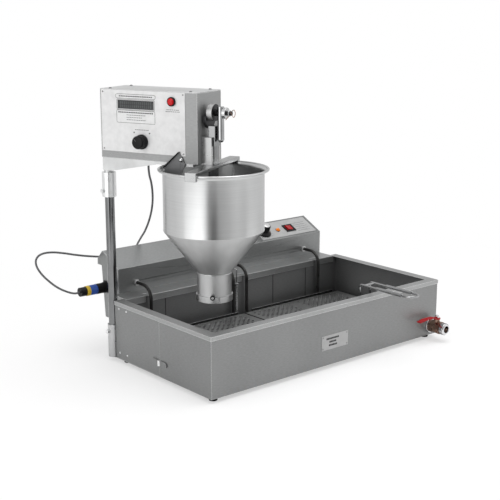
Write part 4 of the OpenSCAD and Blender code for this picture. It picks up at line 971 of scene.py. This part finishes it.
finish_node("head_label", printed_plate("label_print", (0.74, 0.74, 0.74), 0.4), 0.0003)
LABEL_LOOPS = [
    ("title_frame", window_y, window_z + 0.0225, 0.131, 0.0115, 0.0057),
    ("text_frame", window_y, window_z - 0.033, 0.126, 0.034, 0.003),
    ("window_frame", window_y, window_z, 0.124, 0.028, 0.002),
]
for loop_name, loop_y, loop_z, loop_w, loop_h, loop_r in LABEL_LOOPS:
    loop_path = rounded_loop(loop_y, loop_z, loop_w, loop_h, loop_r)
    outline = tube_piece(loop_name, loop_path, outline_r, outline_sides, print_ink)
    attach(outline, "head")
label_out = head_way(-1.0, 0.0, 0.0)
label_along = head_way(0.0, 1.0, 0.0)
BOLD_ROWS = [(window_z + 0.0225, 19, -0.0525), (window_z - 0.0215, 20, -0.055)]
FINE_ROWS = [
    (window_z - 0.0285, 11, -0.03), (window_z - 0.035, 9, -0.018), (window_z - 0.0415, 11, -0.03),
    (head_z + 0.143, 7, -0.1375), (head_z + 0.138, 8, -0.1405), (knob_z + 0.0325, 8, -0.0395),
]


def dash_places(rows):
    """Where the dashes of these rows lie on the label, and which way they face."""
    return [
        (head_point(label_face, window_y + start + k * dash_pitch, z), label_out, label_along)
        for z, count, start in rows
        for k in range(count)
    ]


bold_dash = bar("bold_dash", bold_l, bold_w, ink_t)
bold_dashes = repeated("bold_dashes", dash_places(BOLD_ROWS), bold_dash, print_ink)
fine_dash = bar("fine_dash", fine_l, fine_w, ink_t)
fine_dashes = repeated("fine_dashes", dash_places(FINE_ROWS), fine_dash, print_ink)
label_dots = repeated(
    "label_dots",
    [
        (head_point(label_face, knob_y + side * dot_side, knob_z + dot_up), label_out, label_along)
        for side in (-1, 1)
    ],
    dome("label_dot", dot_r, dot_h),
    print_ink,
)
label_screws = repeated(
    "label_screws",
    [
        (head_point(label_x, y, z), label_out, label_along)
        for y in (label_y0 + label_screw_in, label_y1 - label_screw_in)
        for z in (label_low_z + label_screw_in, label_high_z - label_screw_in)
    ],
    dome("label_screw", label_screw_r, label_screw_h),
    polished("screw_grey", (0.3, 0.3, 0.3), 0.3),
)
for piece in (bold_dashes, fine_dashes, label_dots, label_screws):
    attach(piece, "head")


# Display window
# A window of dark glass set in the label. Two rows of blank cells lie on it, a shade paler than the glass
# round them.
cell_columns, cell_rows = 16, 2
cell_pitch, cell_rise = 0.0066, 0.0095
cell_w, cell_h, cell_t = 0.005, 0.0078, 0.0001
window_glass, window_tree, window_shader = new_material("window_glass")
set_inputs(window_shader, {
    "Base Color": (0.028, 0.03, 0.031, 1.0),
    "Roughness": between(window_tree, grain(window_tree, 30.0), 0.1, 0.2),
    "Coat Weight": 0.3,
})
finish_node("display_window", window_glass, 0.0003)
window_cells = repeated(
    "window_cells",
    [
        (
            head_point(
                label_face,
                window_y + (k - (cell_columns - 1) / 2) * cell_pitch,
                window_z + (row - (cell_rows - 1) / 2) * cell_rise,
            ),
            label_out,
            label_along,
        )
        for k in range(cell_columns)
        for row in range(cell_rows)
    ],
    bar("window_cell", cell_w, cell_h, cell_t),
    moulded("cell_grey", (0.075, 0.08, 0.08), 0.35),
)
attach(window_cells, "head")


# Start button
# A glossy red push button of moulded plastic. It travels in a black bezel that is fixed through the label
# into the case.
finish_node("start_bezel", black_plastic, 0.0009, 3)
button_red = moulded("button_red", (0.6, 0.004, 0.008), 0.16, depth=0.00002, coat=0.3)
finish_node("start_button", button_red, 0.0006, 3)


# Mode knob
# A black fluted knob of moulded plastic with a grey line on its face. It turns on a shaft that comes through
# the label.
knob_r, knob_h, knob_gap = 0.0205, 0.025, 0.0003
knob_rest = math.radians(-46.0)
knob_flute_count = 32
knob_flute_r, knob_flute_z = 0.017, 0.0145
knob_flute_l, knob_flute_w, knob_flute_h = 0.0145, 0.0018, 0.0013
mark_l, mark_w, mark_h, mark_sink = 0.0095, 0.0016, 0.0003, 0.0001
knob_frame = frame_at(head_point(label_x - knob_gap, knob_y, knob_z), label_out, up_way)
KNOB = [
    (0.0, 0.0), (knob_r, 0.0), (knob_r, 0.005), (knob_r - 0.0008, 0.0062), (0.0178, 0.0068), (0.0172, 0.0228),
    (0.0163, 0.0244), (0.0148, knob_h), (0.0, knob_h),
]
knob = lathe("mode_dial", KNOB, knob_frame, black_plastic)
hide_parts("mode_knob")
knob_flutes = repeated(
    "knob_flutes",
    ring_places(knob_flute_count, knob_frame, knob_flute_r, knob_flute_z),
    bar("knob_flute", knob_flute_l, knob_flute_w, knob_flute_h),
    black_plastic,
)
knob_way = knob_frame.to_3x3() @ Vector((math.sin(knob_rest), math.cos(knob_rest), 0.0))
knob_face = knob_frame @ Vector((0.0, 0.0, knob_h - mark_sink))
knob_line = repeated(
    "knob_line",
    [(knob_face + knob_way * mark_l, label_out, knob_way)],
    bar("knob_mark", mark_l, mark_w, mark_h),
    moulded("mark_grey", (0.1, 0.1, 0.1), 0.4),
)
for piece in (knob, knob_flutes, knob_line):
    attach(piece, "mode_knob")


# Arm
# A tapered steel channel welded under the head, with the stub that turns in the collar. A black gland under
# the case lets the cord out, and a painted gearmotor stands inside.
finish_node("head_arm", polished("arm_steel", (0.62, 0.625, 0.625), 0.42, 0.06, 0.1), 0.0009, 3)
finish_node("cord_gland", black_plastic, 0.0008, 3)
finish_node("gearmotor", moulded("motor_paint", (0.09, 0.095, 0.1), 0.45), 0.001, 3)


# Crank
# A dark steel disc on the drive shaft carries a thick bright boss off its centre. The boss has a dark face
# and the pin.
crank_dark, crank_bright = (0.05, 0.05, 0.052, 1.0), (0.52, 0.52, 0.52, 1.0)
boss_back, boss_front = 0.0141, 0.0298
crank_steel, crank_tree, crank_shader = new_material("crank_steel")
crank_out = head_way(0.0, -1.0, 0.0)
crank_split = head_point(0.0, head_end - boss_back, 0.0).dot(crank_out)
crank_face = head_point(0.0, head_end - boss_front, 0.0).dot(crank_out)


def past_plane(tree, way, reach):
    """One on the part of a piece that lies beyond a plane across a direction, and nought on the rest."""
    return worked_out(tree, "GREATER_THAN", reach_along(tree, own_place(tree), tuple(way)), reach)


crank_boss = past_plane(crank_tree, crank_out, crank_split)
crank_colour = two_tone(crank_tree, crank_boss, crank_dark, crank_bright)
crank_end = past_plane(crank_tree, crank_out, crank_face)
set_inputs(crank_shader, {
    "Base Color": two_tone(crank_tree, crank_end, crank_colour, crank_dark),
    "Roughness": between(crank_tree, grain(crank_tree, 60.0), 0.28, 0.42),
    "Metallic": 0.9,
})
finish_node("crank", crank_steel, 0.0009, 3)


# Crank pin keeper
# A round nut of bright steel keeps the rod on the crank pin. A spring clip of coppered wire goes through the
# end of the pin.
finish_node("pin_keeper", bright_steel, 0.0009, 3)
pin_back, pin_out, pin_up = 0.029, 0.0795, 0.137
pin_place = head_point(pin_back, head_end - pin_out, head_z + pin_up)
clip_wire_r, clip_sides, clip_steps = 0.0009, 10, 6
CLIP = [
    (-0.012, 0.012, -0.017), (-0.008, 0.006, -0.008), (-0.005, 0.0, 0.0), (-0.002, -0.004, 0.005),
    (0.003, -0.004, 0.009), (0.008, -0.001, 0.008), (0.011, 0.001, 0.002), (0.0105, 0.002, -0.005),
    (0.007, 0.002, -0.0095), (0.003, 0.002, -0.006), (0.001, 0.004, 0.0), (-0.002, 0.006, 0.004),
]
clip_points = [pin_place + crank_out * a + label_out * b + Vector((0.0, 0.0, c)) for a, b, c in CLIP]
copper_wire = polished("copper_wire", (0.34, 0.2, 0.14), 0.25)
clip_path = smooth_path(clip_points, clip_steps)
spring_clip = tube_piece("spring_clip", clip_path, clip_wire_r, clip_sides, copper_wire)
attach(spring_clip, "crank")


# Connecting rod, plunger and piston
# A chromed rod on the crank pin moves a flat crosshead between two rails. The crosshead carries the plunger,
# with a turned aluminium piston at its foot.
finish_node("con_rod", polished("rod_chrome", (0.5, 0.505, 0.51), 0.1, 0.03), 0.0012, 4)
finish_node("guide_rails", polished("rail_steel", (0.5, 0.503, 0.503), 0.3, 0.06, 0.1), 0.0006, 3)
finish_node("plunger", polished("plunger_steel", (0.32, 0.323, 0.326), 0.16, 0.04), 0.0008, 3)
finish_node("piston", collar_alloy, 0.0008, 3)


# Crossbar
# A flat bright bar across the rim of the hopper, with its ends turned down over the rim. It holds the hopper
# to the head.
finish_node("crossbar", polished("bar_alloy", (0.42, 0.425, 0.425), 0.3, 0.06, 0.1), 0.0016, 4)


# Hopper
# Spun and welded stainless: a straight wall with a rolled rim, a cone and a nozzle. Fine rings run round it,
# and a weld stands out at each joint.
hopper_low, hopper_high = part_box("hopper")
hopper_axis = (hopper_low + hopper_high) / 2
rim_r = (hopper_high.x - hopper_low.x) / 2
wall_r, nozzle_r, hopper_t = 0.1385, 0.048, 0.0015
rim_top, outlet_z = hopper_high.z, hopper_low.z
wall_h, body_h, flare_h = 0.170, 0.291, 0.014
cone_top, cone_foot = rim_top - wall_h, rim_top - body_h
bead_r, weld_out = 0.0034, 0.0007
hopper_sides = 160
dull_tone, dull_haze = (0.5, 0.503, 0.503), 0.09
ring_grain, smear_grain = (4.0, 4.0, 420.0), (26.0, 26.0, 3.0)
bead_z = rim_top - bead_r


def ring_weld(radius, height, width=0.002):
    """Three points of an outline that make a low bead round a joint."""
    return [(radius, height - width), (radius + weld_out, height), (radius, height + width)]


flare = [
    (
        wall_r + (rim_r - bead_r - wall_r) * (1 - math.cos(a)),
        rim_top - flare_h + (flare_h - bead_r) * math.sin(a),
    )
    for a in map(math.radians, range(0, 91, 15))
]
bead = [
    (rim_r - bead_r + bead_r * math.cos(a), bead_z + bead_r * math.sin(a))
    for a in map(math.radians, range(-80, 181, 20))
]
inner_flare = [(r - hopper_t, z + hopper_t / 2) for r, z in reversed(flare[:-1])]
HOPPER = (
    [(nozzle_r, outlet_z)]
    + ring_weld(nozzle_r, cone_foot)
    + ring_weld(wall_r, cone_top)
    + flare
    + bead
    + inner_flare
    + [(wall_r - hopper_t, cone_top), (nozzle_r - hopper_t, cone_foot), (nozzle_r - hopper_t, outlet_z)]
)


def spun_steel(name, tone, rough, round_it=0.55, dull_below=None):
    """Spun sheet: fine rings round the upright axis and faint upright smears, and duller below a level."""
    material, tree, shader = new_material(name)
    rings = grain(tree, 1.0, 5.0, stretch=ring_grain)
    smears = grain(tree, 1.0, 3.0, stretch=smear_grain)
    mean = worked_out(tree, "MULTIPLY", worked_out(tree, "ADD", rings, smears), 0.5)
    colour = shaded(tree, tone, mean, 0.9, 1.06)
    haze = between(tree, smears, rough - 0.03, rough + 0.03)
    if dull_below:
        low = past_plane(tree, -up_way, -dull_below)
        colour = two_tone(tree, low, colour, shaded(tree, dull_tone, smears, 0.9, 1.08))
        haze = worked_out(tree, "ADD", haze, worked_out(tree, "MULTIPLY", low, dull_haze))
    set_inputs(shader, {
        "Base Color": colour,
        "Roughness": haze,
        "Normal": raised(tree, rings, 0.1, 0.0001),
        "Metallic": 1.0,
        "Anisotropic": round_it,
        "Anisotropic Rotation": 0.25,
        "Tangent": add_node(tree, "ShaderNodeTangent", direction_type="RADIAL", axis="Z").outputs[0],
    })
    return material


hopper_steel = spun_steel("hopper_steel", (0.6, 0.605, 0.605), 0.3, dull_below=cone_top)
hopper_frame = Matrix.Translation((hopper_axis.x, hopper_axis.y, 0.0))
hopper = lathe("spun_hopper", HOPPER, hopper_frame, hopper_steel, hopper_sides, closed=True)
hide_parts("hopper")
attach(hopper, "head")


# Nozzle ring
# A split clamp ring of spun steel round the foot of the nozzle. A black knurled screw closes it and holds it
# there.
ring_screw_angle = math.radians(205.0)
ring_screw_up, ring_screw_out = 0.014, 0.0512
ring_screw_sides = 48
RING_SCREW = [
    (0.0068, 0.0), (0.0068, 0.0056), (0.0062, 0.0063), (0.0036, 0.0063), (0.0034, 0.003), (0.0, 0.003),
]
finish_node("nozzle_ring", spun_steel("ring_steel", (0.46, 0.463, 0.463), 0.3, 0.3), 0.0006, 3)
ring_screw_way = head_way(math.cos(ring_screw_angle), math.sin(ring_screw_angle), 0.0)
ring_middle = Vector((hopper_axis.x, hopper_axis.y, outlet_z + ring_screw_up))
ring_screw_frame = frame_at(ring_middle + ring_screw_way * ring_screw_out, ring_screw_way, up_way)
ring_screw = lathe("ring_screw", RING_SCREW, ring_screw_frame, black_plastic, ring_screw_sides)
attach(ring_screw, "head")


# Hopper guide
# A folded plate of grey painted steel, that dips into the hopper. Its slanted flange is painted near black as
# shade. One domed bolt holds it to the front of the head.
guide_grey, guide_flange_shade = (0.16, 0.162, 0.165, 1.0), (0.008, 0.008, 0.008, 1.0)
guide_bend, bolt_seat = 0.00265, 0.0025
bolt_y, bolt_z = head_end + 0.051, head_z + 0.010
bolt_r, bolt_h = 0.006, 0.004
guide_paint, guide_tree, guide_shader = new_material("guide_paint")
guide_face = head_point(label_x - guide_bend, 0.0, 0.0).dot(label_out)
# Painted shade: the slanted flange, folded out past the bend, is made near black.
guide_shaded_flange = past_plane(guide_tree, label_out, guide_face)
set_inputs(guide_shader, {
    "Base Color": two_tone(guide_tree, guide_shaded_flange, guide_grey, guide_flange_shade),
    "Roughness": between(guide_tree, grain(guide_tree, 45.0), 0.36, 0.5),
    "Metallic": 0.35,
})
finish_node("hopper_guide", guide_paint, 0.0004)
guide_bolt = repeated(
    "guide_bolt",
    [(head_point(label_x - bolt_seat, bolt_y, bolt_z), label_out, label_along)],
    dome("bolt_head", bolt_r, bolt_h),
    bright_steel,
)
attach(guide_bolt, "head")
